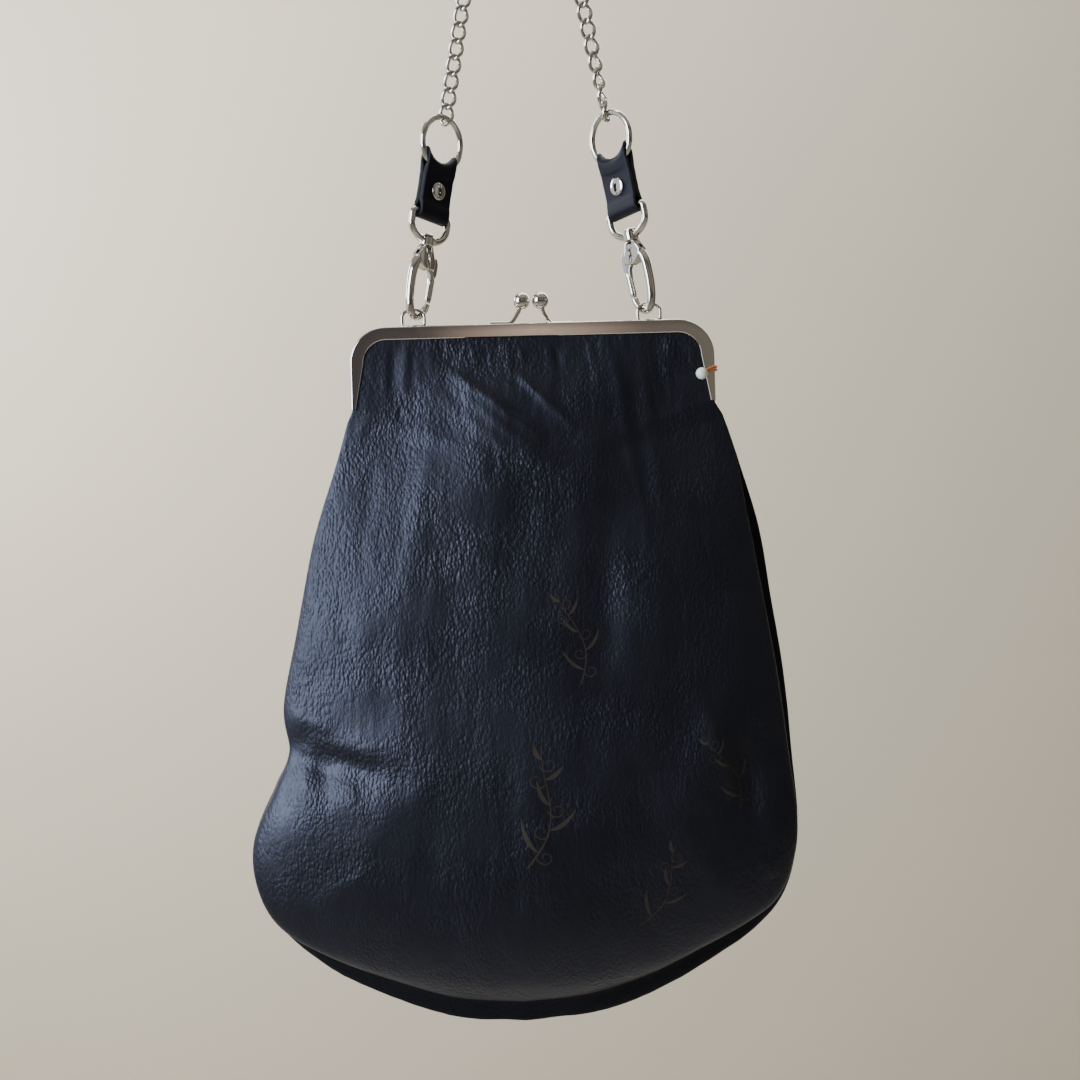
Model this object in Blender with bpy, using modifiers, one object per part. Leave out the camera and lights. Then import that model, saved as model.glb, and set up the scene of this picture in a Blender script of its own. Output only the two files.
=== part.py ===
"""Clasp frame bag on a chain strap.

Metres, +Z up, +X to the right, +Y away from the viewer. The origin is the point
where the chain hangs, the underside of the top link of the strap.
"""
import math
from typing import NamedTuple

import bmesh
import bpy
from mathutils import Matrix, Vector

# Clearance between neighbouring pieces
GAP = 0.0003

# Frame
FRAME_WIDTH = 0.200
FRAME_CORNER_RADIUS = 0.020
FRAME_ARM_DROP = 0.045
BAND_HEIGHT = 0.0073
BAND_END_HEIGHT = 0.0026
CHANNEL_DEPTH = 0.0046
METAL = 0.0008
FRAME_LUG_RADIUS = 0.0032
FRAME_LUG_THICKNESS = 0.0009
FRAME_LUG_INSET = 0.00005
FRAME_PIN_RADIUS = 0.0010
BAND_BEVEL = 1.25

# Rings soldered to the frame
D_RING_WIDTH = 0.0142
D_RING_HEIGHT = 0.0113
D_RING_WIRE = 0.0018
D_RING_INSET = 0.0348
D_RING_ARCH = 0.72
D_RING_CORNER = 0.28
SOLDER_DEPTH = 0.0003

# Kiss lock
BALL_RADIUS = 0.00465
BALL_HEIGHT = 0.0128
BALL_SPACING = 0.0103
CLASP_FOOT_REACH = 0.0225
CLASP_WIRE = 0.0023

# Bag walls
BAG_WIDTH = 0.298
BAG_DROP = 0.3845
LEATHER = 0.0018
FRONT_BULGE = 0.029
BACK_BULGE = 0.023
FRONT_ROLL = 0.0004
FRONT_TUCK = 0.58
BACK_OVERHANG = 0.0127
SPINE_TOP = 0.09
SPINE_BOTTOM = 0.71
SPINE_SHIFT = -0.075
SPINE_EVENNESS = 0.3
ROLL_PEAK = 0.045
HELD_REACH = 0.8
EDGE_FULLNESS = 2.6
EDGE_CROWDING = 1.9
LOOSE_FROM = 0.6
LOOSE_SPAN = 2.2

# Strap hardware
STRAP_LEAN = math.radians(10.3)
STRAP_RISE = 0.0045
HOOK_INSET = 0.2
HARDWARE_TURN = math.radians(48)
LEATHER_TAB_WIDTH = 0.021
TAB_LENGTH = 0.0335
TAB_HALF = 0.0029
TAB_FLANK = 0.45
TAB_FLARE = 0.35
TAB_SADDLE_FROM = 0.3
TAB_SADDLE_SPAN = 0.5
TAB_EYE_FROM = 0.8
O_RING_INNER_RADIUS = 0.0125
O_RING_WIRE = 0.0034
LOOP_INNER_WIDTH = 0.0225
LOOP_HEIGHT = 0.0150
LOOP_WIRE = 0.0038
LOOP_BOW = 0.62
LOOP_CORNER = 0.15
BARREL_RADIUS = 0.0042
BARREL_HEIGHT = 0.0050
POST_RADIUS = 0.0017
POST_HEAD_RADIUS = 0.0032
POST_HEAD_HEIGHT = 0.0016
HOOK_LENGTH = 0.0412
HOOK_WIDTH = 0.0180
HOOK_WIRE = 0.0042
HOOK_BREADTH = 1.2
HOOK_PLAY = 0.0008
HEAD_THICKNESS = 0.0062
WINDOW_SHARE = 0.28
HOOK_PIN_SHARE = 0.9
GATE_THICKNESS = 0.0026
GATE_PIN_RADIUS = 0.0007
GATE_BAR_RADIUS = 0.0019
RIVET_CAP_RADIUS = 0.0048
RIVET_CAP_HEIGHT = 0.0012
RIVET_SHANK_RADIUS = 0.0014

# Chain
LINK_WIDTH = 0.0092
LINK_WIRE = 0.0023
LINK_PITCH = 0.0092
LINK_OVERLAP = 0.0004
LINK_TWIST = math.radians(45)
LINKS_TURNING = 5
LINK_PLAY = 0.0008
CHAIN_TOP_RADIUS = 0.0126

# Bead at the frame's end
BEAD_RADIUS = 0.0033
BEAD_BORE_RADIUS = 0.0017
BEAD_X = FRAME_WIDTH / 2 - 0.008
BEAD_Z = -0.0310
THREAD_RADIUS = 0.00055
THREAD_Z = -0.0276
THREAD_SPREAD = 1.5
THREAD_WRAP = 0.9
THREAD_ENDS = (0.45, 1.1)

# Colours and shading
LEATHER_COLOUR = (0.020, 0.023, 0.033)
NICKEL_COLOUR = (0.62, 0.60, 0.57)
BEAD_COLOUR = (0.85, 0.84, 0.80)
THREAD_COLOUR = (0.90, 0.20, 0.03)
SMOOTH_ANGLE = 40
WALL_SMOOTH_ANGLE = 60

# Mesh density
CORNER_CELLS = 4
TOP_CELLS = 4
ARM_CELLS = 3
SEAM_CELLS = 22
DEPTH_CELLS = 5
LINK_SIDES = 10
TAB_SLICES = 5
TAB_EYE_STEPS = 6
BALL_ROWS = 8
ARCH_STEPS = 8
BOW_STEPS = 12
HOOK_STEPS = 16
RING_SIDES = 16
BARREL_SIDES = 14
ROUND_SIDES = 12
PIN_SIDES = 10
SMALL_SIDES = 8
WINDOW_SIDES = 4
SEAM_FINE_STEPS = 200

# Places worked out from the sizes
D_RING_X = FRAME_WIDTH / 2 - D_RING_INSET
STRAP_DROP = (D_RING_X / math.tan(STRAP_LEAN) + STRAP_RISE
              - CHAIN_TOP_RADIUS / math.sin(STRAP_LEAN) + CHAIN_TOP_RADIUS - LINK_WIDTH / 2)
FRAME_TOP = -STRAP_DROP
SPLIT_Y = -(CHANNEL_DEPTH + GAP) / 2
CHANNEL_OUTER = GAP / 2 + CHANNEL_DEPTH
LEATHER_OUTER = CHANNEL_OUTER - METAL - GAP


class SeamRow(NamedTuple):
    """A point of the side seam, as shares of half the bag's width and of its drop."""
    across: float
    down: float
    overhang: float


LEFT_SEAM = (
    SeamRow(0.691, 0.136, 0.02), SeamRow(0.738, 0.200, 0.02), SeamRow(0.812, 0.307, 0.02),
    SeamRow(0.879, 0.437, 0.02), SeamRow(0.930, 0.540, 0.02), SeamRow(0.915, 0.606, 0.04),
    SeamRow(0.975, 0.663, 0.12), SeamRow(1.052, 0.736, 0.12), SeamRow(1.038, 0.801, 0.12),
    SeamRow(0.960, 0.853, 0.25), SeamRow(0.778, 0.901, 0.63), SeamRow(0.560, 0.936, 0.87),
    SeamRow(0.336, 0.962, 0.98), SeamRow(0.094, 0.970, 1.00),
)
RIGHT_SEAM = (
    SeamRow(0.698, 0.136, 0.10), SeamRow(0.738, 0.187, 0.24), SeamRow(0.780, 0.286, 0.40),
    SeamRow(0.8255, 0.403, 0.36), SeamRow(0.869, 0.520, 0.32), SeamRow(0.893, 0.624, 0.24),
    SeamRow(0.913, 0.715, 0.16), SeamRow(0.899, 0.772, 0.20), SeamRow(0.846, 0.824, 0.32),
    SeamRow(0.742, 0.860, 0.55), SeamRow(0.575, 0.897, 0.71), SeamRow(0.380, 0.934, 0.87),
    SeamRow(0.148, 0.961, 0.98), SeamRow(-0.094, 0.970, 1.00),
)


class DepthRow(NamedTuple):
    """Fullness of a wall at a height, as a share of its bulge."""
    down: float
    fullness: float


FULLNESS = (
    DepthRow(0.00, 0.16), DepthRow(0.04, 0.20), DepthRow(0.12, 0.36), DepthRow(0.25, 0.56),
    DepthRow(0.45, 0.80), DepthRow(0.65, 1.00), DepthRow(0.85, 1.00), DepthRow(1.00, 0.88),
)


class Dent(NamedTuple):
    """A soft dent (positive depth) or ridge, in shares of half width, drop and bulge."""
    across: float
    down: float
    half_length: float
    half_width: float
    turn: float
    depth: float


FRONT_DENTS = (
    Dent(-0.80, 0.612, 0.26, 0.080, math.radians(-14), 0.26),
    Dent(0.75, 0.655, 0.20, 0.110, math.radians(75), 0.20),
    Dent(0.25, 0.398, 0.50, 0.120, math.radians(82), 0.10),
    Dent(0.60, 0.620, 0.28, 0.100, math.radians(65), -0.09),
    Dent(-0.13, 0.150, 0.24, 0.060, math.radians(-38), -0.09),
)
BACK_DENTS = (
    Dent(-0.80, 0.610, 0.24, 0.080, math.radians(-10), 0.22),
    Dent(0.10, 0.450, 0.60, 0.160, math.radians(85), 0.10),
)


class Stop(NamedTuple):
    """A stop on a hook's path: shares of half its width and of its length, and wire share."""
    out: float
    up: float
    wire: float


HOOK_PATH = (
    Stop(0.10, 0.900, 1.05), Stop(0.50, 0.820, 1.15), Stop(0.74, 0.690, 1.15), Stop(0.78, 0.520, 1.10),
    Stop(0.74, 0.350, 1.05), Stop(0.62, 0.200, 1.00), Stop(0.36, 0.085, 0.95), Stop(0.00, 0.046, 0.90),
    Stop(-0.36, 0.085, 0.90), Stop(-0.64, 0.170, 0.88), Stop(-0.75, 0.245, 0.86),
)


class Corner(NamedTuple):
    """A corner of a flat outline: shares of half a hook's width and of its length."""
    out: float
    up: float


HEAD_OUTLINE = (
    Corner(-0.34, 1.000), Corner(0.34, 1.000), Corner(0.72, 0.860), Corner(0.52, 0.760),
    Corner(0.10, 0.700), Corner(-0.30, 0.690), Corner(-0.68, 0.720), Corner(-0.72, 0.800),
)
GATE_OUTLINE = (
    Corner(-0.62, 0.274), Corner(-0.94, 0.274), Corner(-1.00, 0.450), Corner(-0.98, 0.600),
    Corner(-1.22, 0.680), Corner(-1.24, 0.860), Corner(-0.90, 0.840), Corner(-0.66, 0.812),
    Corner(-0.36, 0.790), Corner(-0.34, 0.715), Corner(-0.56, 0.640), Corner(-0.66, 0.450),
)
GATE_PIVOT = Corner(-0.54, 0.755)
SLOT_OUTLINE = (
    Corner(-2.00, 0.000), Corner(-2.00, 0.900), Corner(-0.40, 0.900),
    Corner(-0.10, 0.800), Corner(-0.10, 0.000),
)
HOOK_WINDOW = Corner(0.60, 0.900)
GATE_BAR = (Corner(-0.80, 0.284), Corner(-0.82, 0.450), Corner(-0.84, 0.610))


class ClaspStop(NamedTuple):
    """A stop on a clasp arm: shares of its reach, of the way to the middle and of the ball's height."""
    reach: float
    lean: float
    rise: float


CLASP_PATH = (
    ClaspStop(1.000, 0.0, 0.051), ClaspStop(0.520, 0.0, 0.051), ClaspStop(0.430, 0.0, 0.170),
    ClaspStop(0.299, 0.6, 0.550), ClaspStop(0.270, 1.0, 0.782),
)


class CapRow(NamedTuple):
    """A point of a rivet cap's profile, as shares of its radius and height."""
    radius: float
    height: float


CAP_PROFILE = (CapRow(0.0, 1.0), CapRow(0.55, 0.9), CapRow(0.9, 0.5), CapRow(1.0, 0.0))


def clear_scene():
    """Remove whatever the file holds before the bag is built."""
    for item in list(bpy.data.objects):
        bpy.data.objects.remove(item, do_unlink=True)


def new_collection(name):
    """Link a new collection to the scene."""
    group = bpy.data.collections.new(name)
    bpy.context.scene.collection.children.link(group)
    return group


def new_material(name, colour, roughness, metallic=0.0):
    """A Principled material from a linear colour."""
    made = bpy.data.materials.new(name)
    made.use_nodes = True
    made.diffuse_color = (*colour, 1.0)
    shader = made.node_tree.nodes["Principled BSDF"]
    shader.inputs["Base Color"].default_value = (*colour, 1.0)
    shader.inputs["Roughness"].default_value = roughness
    shader.inputs["Metallic"].default_value = metallic
    return made


def place(name, mesh, group, material, smooth_angle=SMOOTH_ANGLE):
    """Make the named object of a sub-part from its finished mesh."""
    mesh.materials.clear()
    mesh.materials.append(material.copy())
    mesh.shade_smooth()
    mesh.set_sharp_from_angle(angle=math.radians(smooth_angle))
    piece = bpy.data.objects.new(name, mesh)
    group.objects.link(piece)
    return piece


def mesh_of(shape, name):
    """Turn a bmesh into mesh data, welded and with its faces outwards."""
    bmesh.ops.remove_doubles(shape, verts=shape.verts, dist=0.00001)
    bmesh.ops.recalc_face_normals(shape, faces=shape.faces)
    mesh = bpy.data.meshes.new(name)
    shape.to_mesh(mesh)
    shape.free()
    return mesh


def curve_mesh(name, points, radius, closed=False, shares=None, bevel=2):
    """A round wire along points, as a closed mesh. Shares scale the radius at each point."""
    data = bpy.data.curves.new(name, "CURVE")
    data.dimensions = "3D"
    data.bevel_depth = radius
    data.bevel_resolution = bevel
    data.use_fill_caps = not closed
    spline = data.splines.new("POLY")
    spline.points.add(len(points) - 1)
    for index, (point, target) in enumerate(zip(points, spline.points)):
        target.co = (*point, 1.0)
        target.radius = shares[index] if shares else 1.0
    spline.use_cyclic_u = closed
    return applied_curve(name, data)


def applied_curve(name, data):
    """Turn curve data into welded mesh data and remove the curve."""
    guide = bpy.data.objects.new(name, data)
    bpy.context.scene.collection.objects.link(guide)
    view = bpy.context.evaluated_depsgraph_get()
    mesh = bpy.data.meshes.new_from_object(guide.evaluated_get(view))
    bpy.data.objects.remove(guide, do_unlink=True)
    shape = bmesh.new()
    shape.from_mesh(mesh)
    return mesh_of(shape, name)


def flat_mesh(name, outlines, thickness):
    """A flat outline in X and Y, with holes, extruded evenly about Z."""
    data = bpy.data.curves.new(name, "CURVE")
    data.dimensions = "2D"
    data.fill_mode = "BOTH"
    data.extrude = thickness / 2
    for outline in outlines:
        spline = data.splines.new("POLY")
        spline.points.add(len(outline) - 1)
        for point, target in zip(outline, spline.points):
            target.co = (point[0], point[1], 0.0, 1.0)
        spline.use_cyclic_u = True
    return applied_curve(name, data)


def cylinder_mesh(name, radius, length, sides=ROUND_SIDES):
    """A cylinder along Z about the middle."""
    shape = bmesh.new()
    bmesh.ops.create_cone(shape, cap_ends=True, segments=sides, radius1=radius, radius2=radius, depth=length)
    return mesh_of(shape, name)


def ball_mesh(name, radius, sides=ROUND_SIDES, rows=BALL_ROWS):
    """A ball about the middle."""
    shape = bmesh.new()
    bmesh.ops.create_uvsphere(shape, u_segments=sides, v_segments=rows, radius=radius)
    return mesh_of(shape, name)


def combine(name, base, tools, operation, cutters):
    """Apply Boolean operations to a mesh, with the tool shapes kept as hidden objects."""
    body = bpy.data.objects.new(name, base)
    bpy.context.scene.collection.objects.link(body)
    for index, tool in enumerate(tools):
        cutter = bpy.data.objects.new(f"{name}_tool_{index}", tool)
        cutters.objects.link(cutter)
        cutter.hide_render = True
        cutter.display_type = "WIRE"
        step = body.modifiers.new(f"step_{index}", "BOOLEAN")
        step.operation = operation
        step.solver = "EXACT"
        step.object = cutter
    view = bpy.context.evaluated_depsgraph_get()
    mesh = bpy.data.meshes.new_from_object(body.evaluated_get(view))
    bpy.data.objects.remove(body, do_unlink=True)
    shape = bmesh.new()
    shape.from_mesh(mesh)
    fill_pockets(shape)
    shape.to_mesh(mesh)
    shape.free()
    return mesh


def fill_pockets(shape):
    """Remove the tiny closed pockets that a contact between two faceted wires can leave."""
    left = set(shape.verts)
    islands = []
    while left:
        stack = [left.pop()]
        island = list(stack)
        while stack:
            for edge in stack.pop().link_edges:
                for vertex in edge.verts:
                    if vertex in left:
                        left.remove(vertex)
                        stack.append(vertex)
                        island.append(vertex)
        islands.append(island)
    islands.sort(key=len)
    pockets = [vertex for island in islands[:-1] for vertex in island]
    bmesh.ops.delete(shape, geom=pockets, context="VERTS")


def moved(mesh, matrix):
    """The same mesh moved by a matrix."""
    mesh.transform(matrix)
    return mesh


def ring_loft(rings, name, closed=False):
    """A skin through rings of points, with flat ends unless the rings close on themselves."""
    shape = bmesh.new()
    rows = [[shape.verts.new(point) for point in ring] for ring in rings]
    count = len(rows[0])
    pairs = zip(rows, rows[1:] + rows[:1]) if closed else zip(rows, rows[1:])
    for low, high in pairs:
        for index in range(count):
            after = (index + 1) % count
            shape.faces.new((low[index], low[after], high[after], high[index]))
    if not closed:
        shape.faces.new(reversed(rows[0]))
        shape.faces.new(rows[-1])
    return mesh_of(shape, name)


def mix(low, high, share):
    """Blend two numbers or vectors."""
    return low * (1 - share) + high * share


def smooth(value):
    """Smooth step from 0 to 1."""
    value = min(max(value, 0.0), 1.0)
    return value * value * (3 - 2 * value)


def row_curve(rows, share):
    """Catmull-Rom curve through rows of numbers, at a share of its row count."""
    last = len(rows) - 1
    at = min(max(share, 0.0), 1.0) * last
    first = min(int(at), last - 1)
    rest = at - first
    before = rows[max(first - 1, 0)]
    after = rows[min(first + 2, last)]
    point = []
    for p0, p1, p2, p3 in zip(before, rows[first], rows[first + 1], after):
        bend = 2 * p0 - 5 * p1 + 4 * p2 - p3
        point.append(0.5 * (2 * p1 + (p2 - p0) * rest + bend * rest ** 2
                            + (3 * p1 - p0 - 3 * p2 + p3) * rest ** 3))
    return point


def frame_station(index):
    """Frame path on the left half: place on the outer edge, inward direction and band height.

    The index runs from the middle of the top bar to the end of the arm.
    """
    half = FRAME_WIDTH / 2
    straight = half - FRAME_CORNER_RADIUS
    if index <= TOP_CELLS:
        return Vector((-straight * index / TOP_CELLS, 0)), Vector((0, -1)), BAND_HEIGHT
    if index <= TOP_CELLS + CORNER_CELLS:
        angle = math.pi / 2 * (index - TOP_CELLS) / CORNER_CELLS
        outward = Vector((-math.sin(angle), math.cos(angle)))
        centre = Vector((-straight, -FRAME_CORNER_RADIUS))
        return centre + outward * FRAME_CORNER_RADIUS, -outward, BAND_HEIGHT
    share = (index - TOP_CELLS - CORNER_CELLS) / ARM_CELLS
    drop = mix(FRAME_CORNER_RADIUS, FRAME_ARM_DROP, share)
    return Vector((-half, -drop)), Vector((1, 0)), mix(BAND_HEIGHT, BAND_END_HEIGHT, share)


FRAME_CELLS = TOP_CELLS + CORNER_CELLS + ARM_CELLS
HALF_CELLS = FRAME_CELLS + SEAM_CELLS


class Edge(NamedTuple):
    """A point of a panel's edge on one half of the outline."""
    place: Vector
    inward: Vector
    band: float
    sewn: float
    overhang: float


def seam_points(rows, side):
    """Even points along one side seam, from under the frame's arm to the middle of the bottom."""
    line = []
    for step in range(SEAM_FINE_STEPS + 1):
        across, down, overhang = row_curve(rows, step / SEAM_FINE_STEPS)
        line.append((Vector((side * across * BAG_WIDTH / 2, -down * BAG_DROP)), overhang))
    lengths = [0.0]
    for (start, _), (end, _) in zip(line, line[1:]):
        lengths.append(lengths[-1] + (end - start).length)
    points = []
    at = 0
    for cell in range(SEAM_CELLS):
        wanted = lengths[-1] * cell / (SEAM_CELLS - 1)
        while at < SEAM_FINE_STEPS - 1 and lengths[at + 1] < wanted:
            at += 1
        share = (wanted - lengths[at]) / max(lengths[at + 1] - lengths[at], 1e-9)
        place = line[at][0].lerp(line[at + 1][0], share)
        points.append((place, mix(line[at][1], line[at + 1][1], share)))
    return points


def half_outline(rows, side):
    """A panel's edge on one side, from the middle of the top to the middle of the bottom."""
    edges = []
    for index in range(FRAME_CELLS + 1):
        outer, inward, band = frame_station(index)
        place = outer + inward * (METAL + GAP)
        outside, towards = Vector((-side * place.x, place.y)), Vector((-side * inward.x, inward.y))
        edges.append(Edge(outside, towards, band, 0.0, 0.0))
    points = seam_points(rows, side)
    for index, (place, overhang) in enumerate(points):
        before = points[index - 1][0] if index else edges[-1].place
        after = points[min(index + 1, len(points) - 1)][0]
        along = (after - before).normalized()
        inward = Vector((-along.y, along.x)) if side < 0 else Vector((along.y, -along.x))
        edges.append(Edge(place, inward, BAND_END_HEIGHT, 1.0, overhang * BACK_OVERHANG))
    return edges


def table_value(rows, at):
    """Smoothly blended value between rows of a place and a value."""
    for low, high in zip(rows, rows[1:]):
        if at <= high[0]:
            return mix(low[1], high[1], smooth((at - low[0]) / (high[0] - low[0])))
    return rows[-1][1]


def dent_depth(dents, place):
    """Sum of the dents at a place, as a share of the bulge."""
    total = 0.0
    for dent in dents:
        away = Vector((place.x - dent.across * BAG_WIDTH / 2, place.y + dent.down * BAG_DROP))
        along = away.x * math.cos(dent.turn) + away.y * math.sin(dent.turn)
        over = away.y * math.cos(dent.turn) - away.x * math.sin(dent.turn)
        reach = BAG_WIDTH / 2
        total += dent.depth * math.exp(-(along / (dent.half_length * reach)) ** 2
                                       - (over / (dent.half_width * reach)) ** 2)
    return total


class Wall(NamedTuple):
    """What sets one leather wall apart from the other."""
    side: int
    bulge: float
    roll: float
    overhang: float
    dents: tuple


FRONT_WALL = Wall(-1, FRONT_BULGE, FRONT_ROLL, -FRONT_TUCK, FRONT_DENTS)
BACK_WALL = Wall(1, BACK_BULGE, 0.0, 1.0, BACK_DENTS)


def spine_place(share, down):
    """The line in the middle of a wall that both halves of its outline run to."""
    drop = mix(SPINE_TOP, SPINE_BOTTOM, mix(down, share, SPINE_EVENNESS))
    return Vector((SPINE_SHIFT * BAG_WIDTH / 2 * drop, -drop * BAG_DROP))


def wall_point(wall, edge, centre, step, inner):
    """A point of a wall, at a step from its edge to the middle line."""
    lining = LEATHER if inner else 0.0
    start = edge.place + edge.inward * lining * edge.sewn
    reach = (centre - start).length
    loose = smooth((-edge.place.y / FRAME_ARM_DROP - LOOSE_FROM) / LOOSE_SPAN)
    share = step ** mix(1.0, EDGE_CROWDING, loose)
    peak = share / ROLL_PEAK * math.exp(1 - share / ROLL_PEAK)
    roll = loose * peak * (wall.roll + wall.overhang * edge.overhang + ROLL_PEAK * reach)
    place = start.lerp(centre, share) - edge.inward * roll
    fullness = table_value(FULLNESS, -place.y / BAG_DROP)
    depth = wall.bulge * (fullness - dent_depth(wall.dents, place)) - lining
    base = mix(LEATHER_OUTER - lining, GAP / 2, edge.sewn)
    held = smooth((share * reach - edge.band) / (reach * HELD_REACH))
    free = math.sqrt(max(1 - (1 - share) ** EDGE_FULLNESS, 0.0))
    y = mix(base, max(depth, base), mix(held, free, loose))
    return Vector((place.x, SPLIT_Y + wall.side * y, FRAME_TOP + place.y))


def wall_mesh(wall, name):
    """One leather wall: outer and inner skins joined around the edge."""
    left = half_outline(LEFT_SEAM, -1)
    right = half_outline(RIGHT_SEAM, 1)
    shape = bmesh.new()
    rims = []
    for inner in (False, True):
        spine = []
        for index, (one, other) in enumerate(zip(left, right)):
            down = -(one.place.y + other.place.y) / 2 / BAG_DROP
            spine.append(spine_place(index / HALF_CELLS, down))
        centres = [shape.verts.new(wall_point(wall, edge, centre, 1.0, inner))
                   for edge, centre in zip(left, spine)]
        halves = []
        for edges in (left, right):
            rows = []
            for edge, centre, end in zip(edges, spine, centres):
                cells = [shape.verts.new(wall_point(wall, edge, centre, step / DEPTH_CELLS, inner))
                         for step in range(DEPTH_CELLS)]
                rows.append(cells + [end])
            halves.append(rows)
        for end in (0, -1):
            for one, other in zip(halves[0][end][:-1], halves[1][end][:-1]):
                one.co = other.co = (one.co + other.co) / 2
        for rows in halves:
            for low, high in zip(rows, rows[1:]):
                for cell in range(DEPTH_CELLS):
                    corners = (low[cell], low[cell + 1], high[cell + 1], high[cell])
                    shape.faces.new(corners)
        rims.append([[row[0] for row in rows] for rows in halves])
    for outer, lining in zip(*rims):
        for index in range(HALF_CELLS):
            shape.faces.new((outer[index], outer[index + 1], lining[index + 1], lining[index]))
    return mesh_of(shape, name)


def channel_ring(outer, inward, band, side):
    """Section of a frame half at a station: a channel open towards the bag."""
    near = GAP / 2
    far = CHANNEL_OUTER
    bevel = METAL * BAND_BEVEL
    corners = (
        (bevel, far), (0.0, far - bevel), (0.0, near), (band, near), (band, near + METAL),
        (METAL, near + METAL), (METAL, far - METAL), (band, far - METAL), (band, far),
    )
    ring = []
    for along, y in corners:
        place = outer + inward * along
        ring.append((place.x, SPLIT_Y + side * y, FRAME_TOP + place.y))
    return ring


def frame_half_mesh(name, side):
    """The channel of one frame half, swept from arm to arm."""
    stations = [frame_station(index) for index in range(TOP_CELLS, FRAME_CELLS + 1)]
    rings = [channel_ring(outer, inward, band, side) for outer, inward, band in reversed(stations)]
    for outer, inward, band in stations:
        rings.append(channel_ring(Vector((-outer.x, outer.y)), Vector((-inward.x, inward.y)), band, side))
    return ring_loft(rings, name)


def lug_mesh(name, x_side, side):
    """The round end of an arm, where the frame's pin goes through."""
    y = side * (GAP / 2 + FRAME_LUG_INSET + FRAME_LUG_THICKNESS / 2)
    disc = cylinder_mesh(name, FRAME_LUG_RADIUS, FRAME_LUG_THICKNESS, BARREL_SIDES)
    return moved(disc, pin_matrix(x_side) @ Matrix.Translation((0, 0, -y)))


def pin_matrix(x_side):
    """The middle of a frame pin, with Z along the pin towards the viewer."""
    centre = (x_side * (FRAME_WIDTH / 2 - FRAME_LUG_RADIUS), SPLIT_Y, FRAME_TOP - FRAME_ARM_DROP)
    return Matrix.Translation(centre) @ Matrix.Rotation(math.pi / 2, 4, "X")


def circle_points(radius, sides):
    """Points of a circle in a plane."""
    return [(radius * math.cos(2 * math.pi * step / sides),
             radius * math.sin(2 * math.pi * step / sides)) for step in range(sides)]


def d_ring_mesh(name, x_side):
    """Wire ring with a flat bar below, upright on the frame."""
    half = (D_RING_WIDTH - D_RING_WIRE) / 2
    height = D_RING_HEIGHT - D_RING_WIRE
    low = D_RING_WIRE / 2 - SOLDER_DEPTH
    corner = half * D_RING_CORNER
    cut = corner * (1 - math.sqrt(0.5))
    rise = half * D_RING_ARCH
    arch = [(half * math.cos(angle), height - rise + rise * math.sin(angle))
            for angle in (math.pi * step / ARCH_STEPS for step in range(ARCH_STEPS + 1))]
    foot = [(-half, corner), (cut - half, cut), (corner - half, 0), (half - corner, 0), (half - cut, cut),
            (half, corner)]
    points = [(x_side * D_RING_X + x, 0.0, FRAME_TOP + low + z) for x, z in arch + foot]
    return curve_mesh(name, points, D_RING_WIRE / 2, closed=True, bevel=1)


def clasp_meshes(name, x_side, side):
    """Soldered arm and ball of the kiss lock on one half."""
    middle = SPLIT_Y + side * (GAP / 2 + CHANNEL_DEPTH / 2)
    points = [(x_side * CLASP_FOOT_REACH * stop.reach, mix(middle, SPLIT_Y, stop.lean),
               FRAME_TOP + BALL_HEIGHT * stop.rise) for stop in CLASP_PATH]
    arm = curve_mesh(f"{name}_arm", points, CLASP_WIRE / 2)
    centre = (x_side * BALL_SPACING / 2, SPLIT_Y, FRAME_TOP + BALL_HEIGHT)
    ball = moved(ball_mesh(f"{name}_ball", BALL_RADIUS), Matrix.Translation(centre))
    return [arm, ball]


def build_frame(group, cutters, metal):
    """Both halves of the frame with what is soldered to them, and the pins between them."""
    pin_length = 2 * FRAME_LUG_THICKNESS + GAP
    for name, side in (("frame_front", -1), ("frame_back", 1)):
        tools = clasp_meshes(name, side, side)
        holes = []
        for x_side in (-1, 1):
            tools.append(lug_mesh(f"{name}_lug", x_side, side))
            hole = cylinder_mesh(f"{name}_hole", FRAME_PIN_RADIUS + GAP, pin_length + 3 * GAP, PIN_SIDES)
            holes.append(moved(hole, pin_matrix(x_side)))
            if side > 0:
                tools.append(d_ring_mesh(f"{name}_ring", x_side))
        joined = combine(name, frame_half_mesh(name, side), tools, "UNION", cutters)
        place(name, combine(name, joined, holes, "DIFFERENCE", cutters), group, metal)
    for end, x_side in (("left", -1), ("right", 1)):
        pin = cylinder_mesh(f"frame_pin_{end}", FRAME_PIN_RADIUS, pin_length, PIN_SIDES)
        piece = place(f"frame_pin_{end}", pin, group, metal)
        piece.matrix_world = pin_matrix(x_side)


class Rig(NamedTuple):
    """Places along one end of the strap, measured upwards from the hook's lowest point."""
    side: int
    base: Vector
    up: Vector
    out: Vector
    across: Vector

    def at(self, height, out=0.0, across=0.0):
        """A world place in the hook's plane."""
        return self.base + self.up * height + self.out * out + self.across * across

    def matrix(self, height, out=0.0):
        """A frame with X out, Y across the hook's plane and Z up the strap."""
        axes = Matrix((self.out, self.across, self.up)).transposed().to_4x4()
        return Matrix.Translation(self.at(height, out)) @ axes


def strap_rig(side):
    """Work out the rig of the left (-1) or right (1) end of the strap."""
    up = Vector((-side * math.sin(STRAP_LEAN), 0, math.cos(STRAP_LEAN)))
    level = Vector((math.cos(STRAP_LEAN), 0, side * math.sin(STRAP_LEAN)))
    out = side * math.cos(HARDWARE_TURN) * level - math.sin(HARDWARE_TURN) * Vector((0, 1, 0))
    ring_under = D_RING_HEIGHT - SOLDER_DEPTH - D_RING_WIRE
    lowest = ring_under - HOOK_PLAY - HOOK_WIRE
    base = Vector((side * (D_RING_X - lowest * HOOK_INSET), 0, FRAME_TOP + lowest))
    return Rig(side, base, up, out, up.cross(out))


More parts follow.
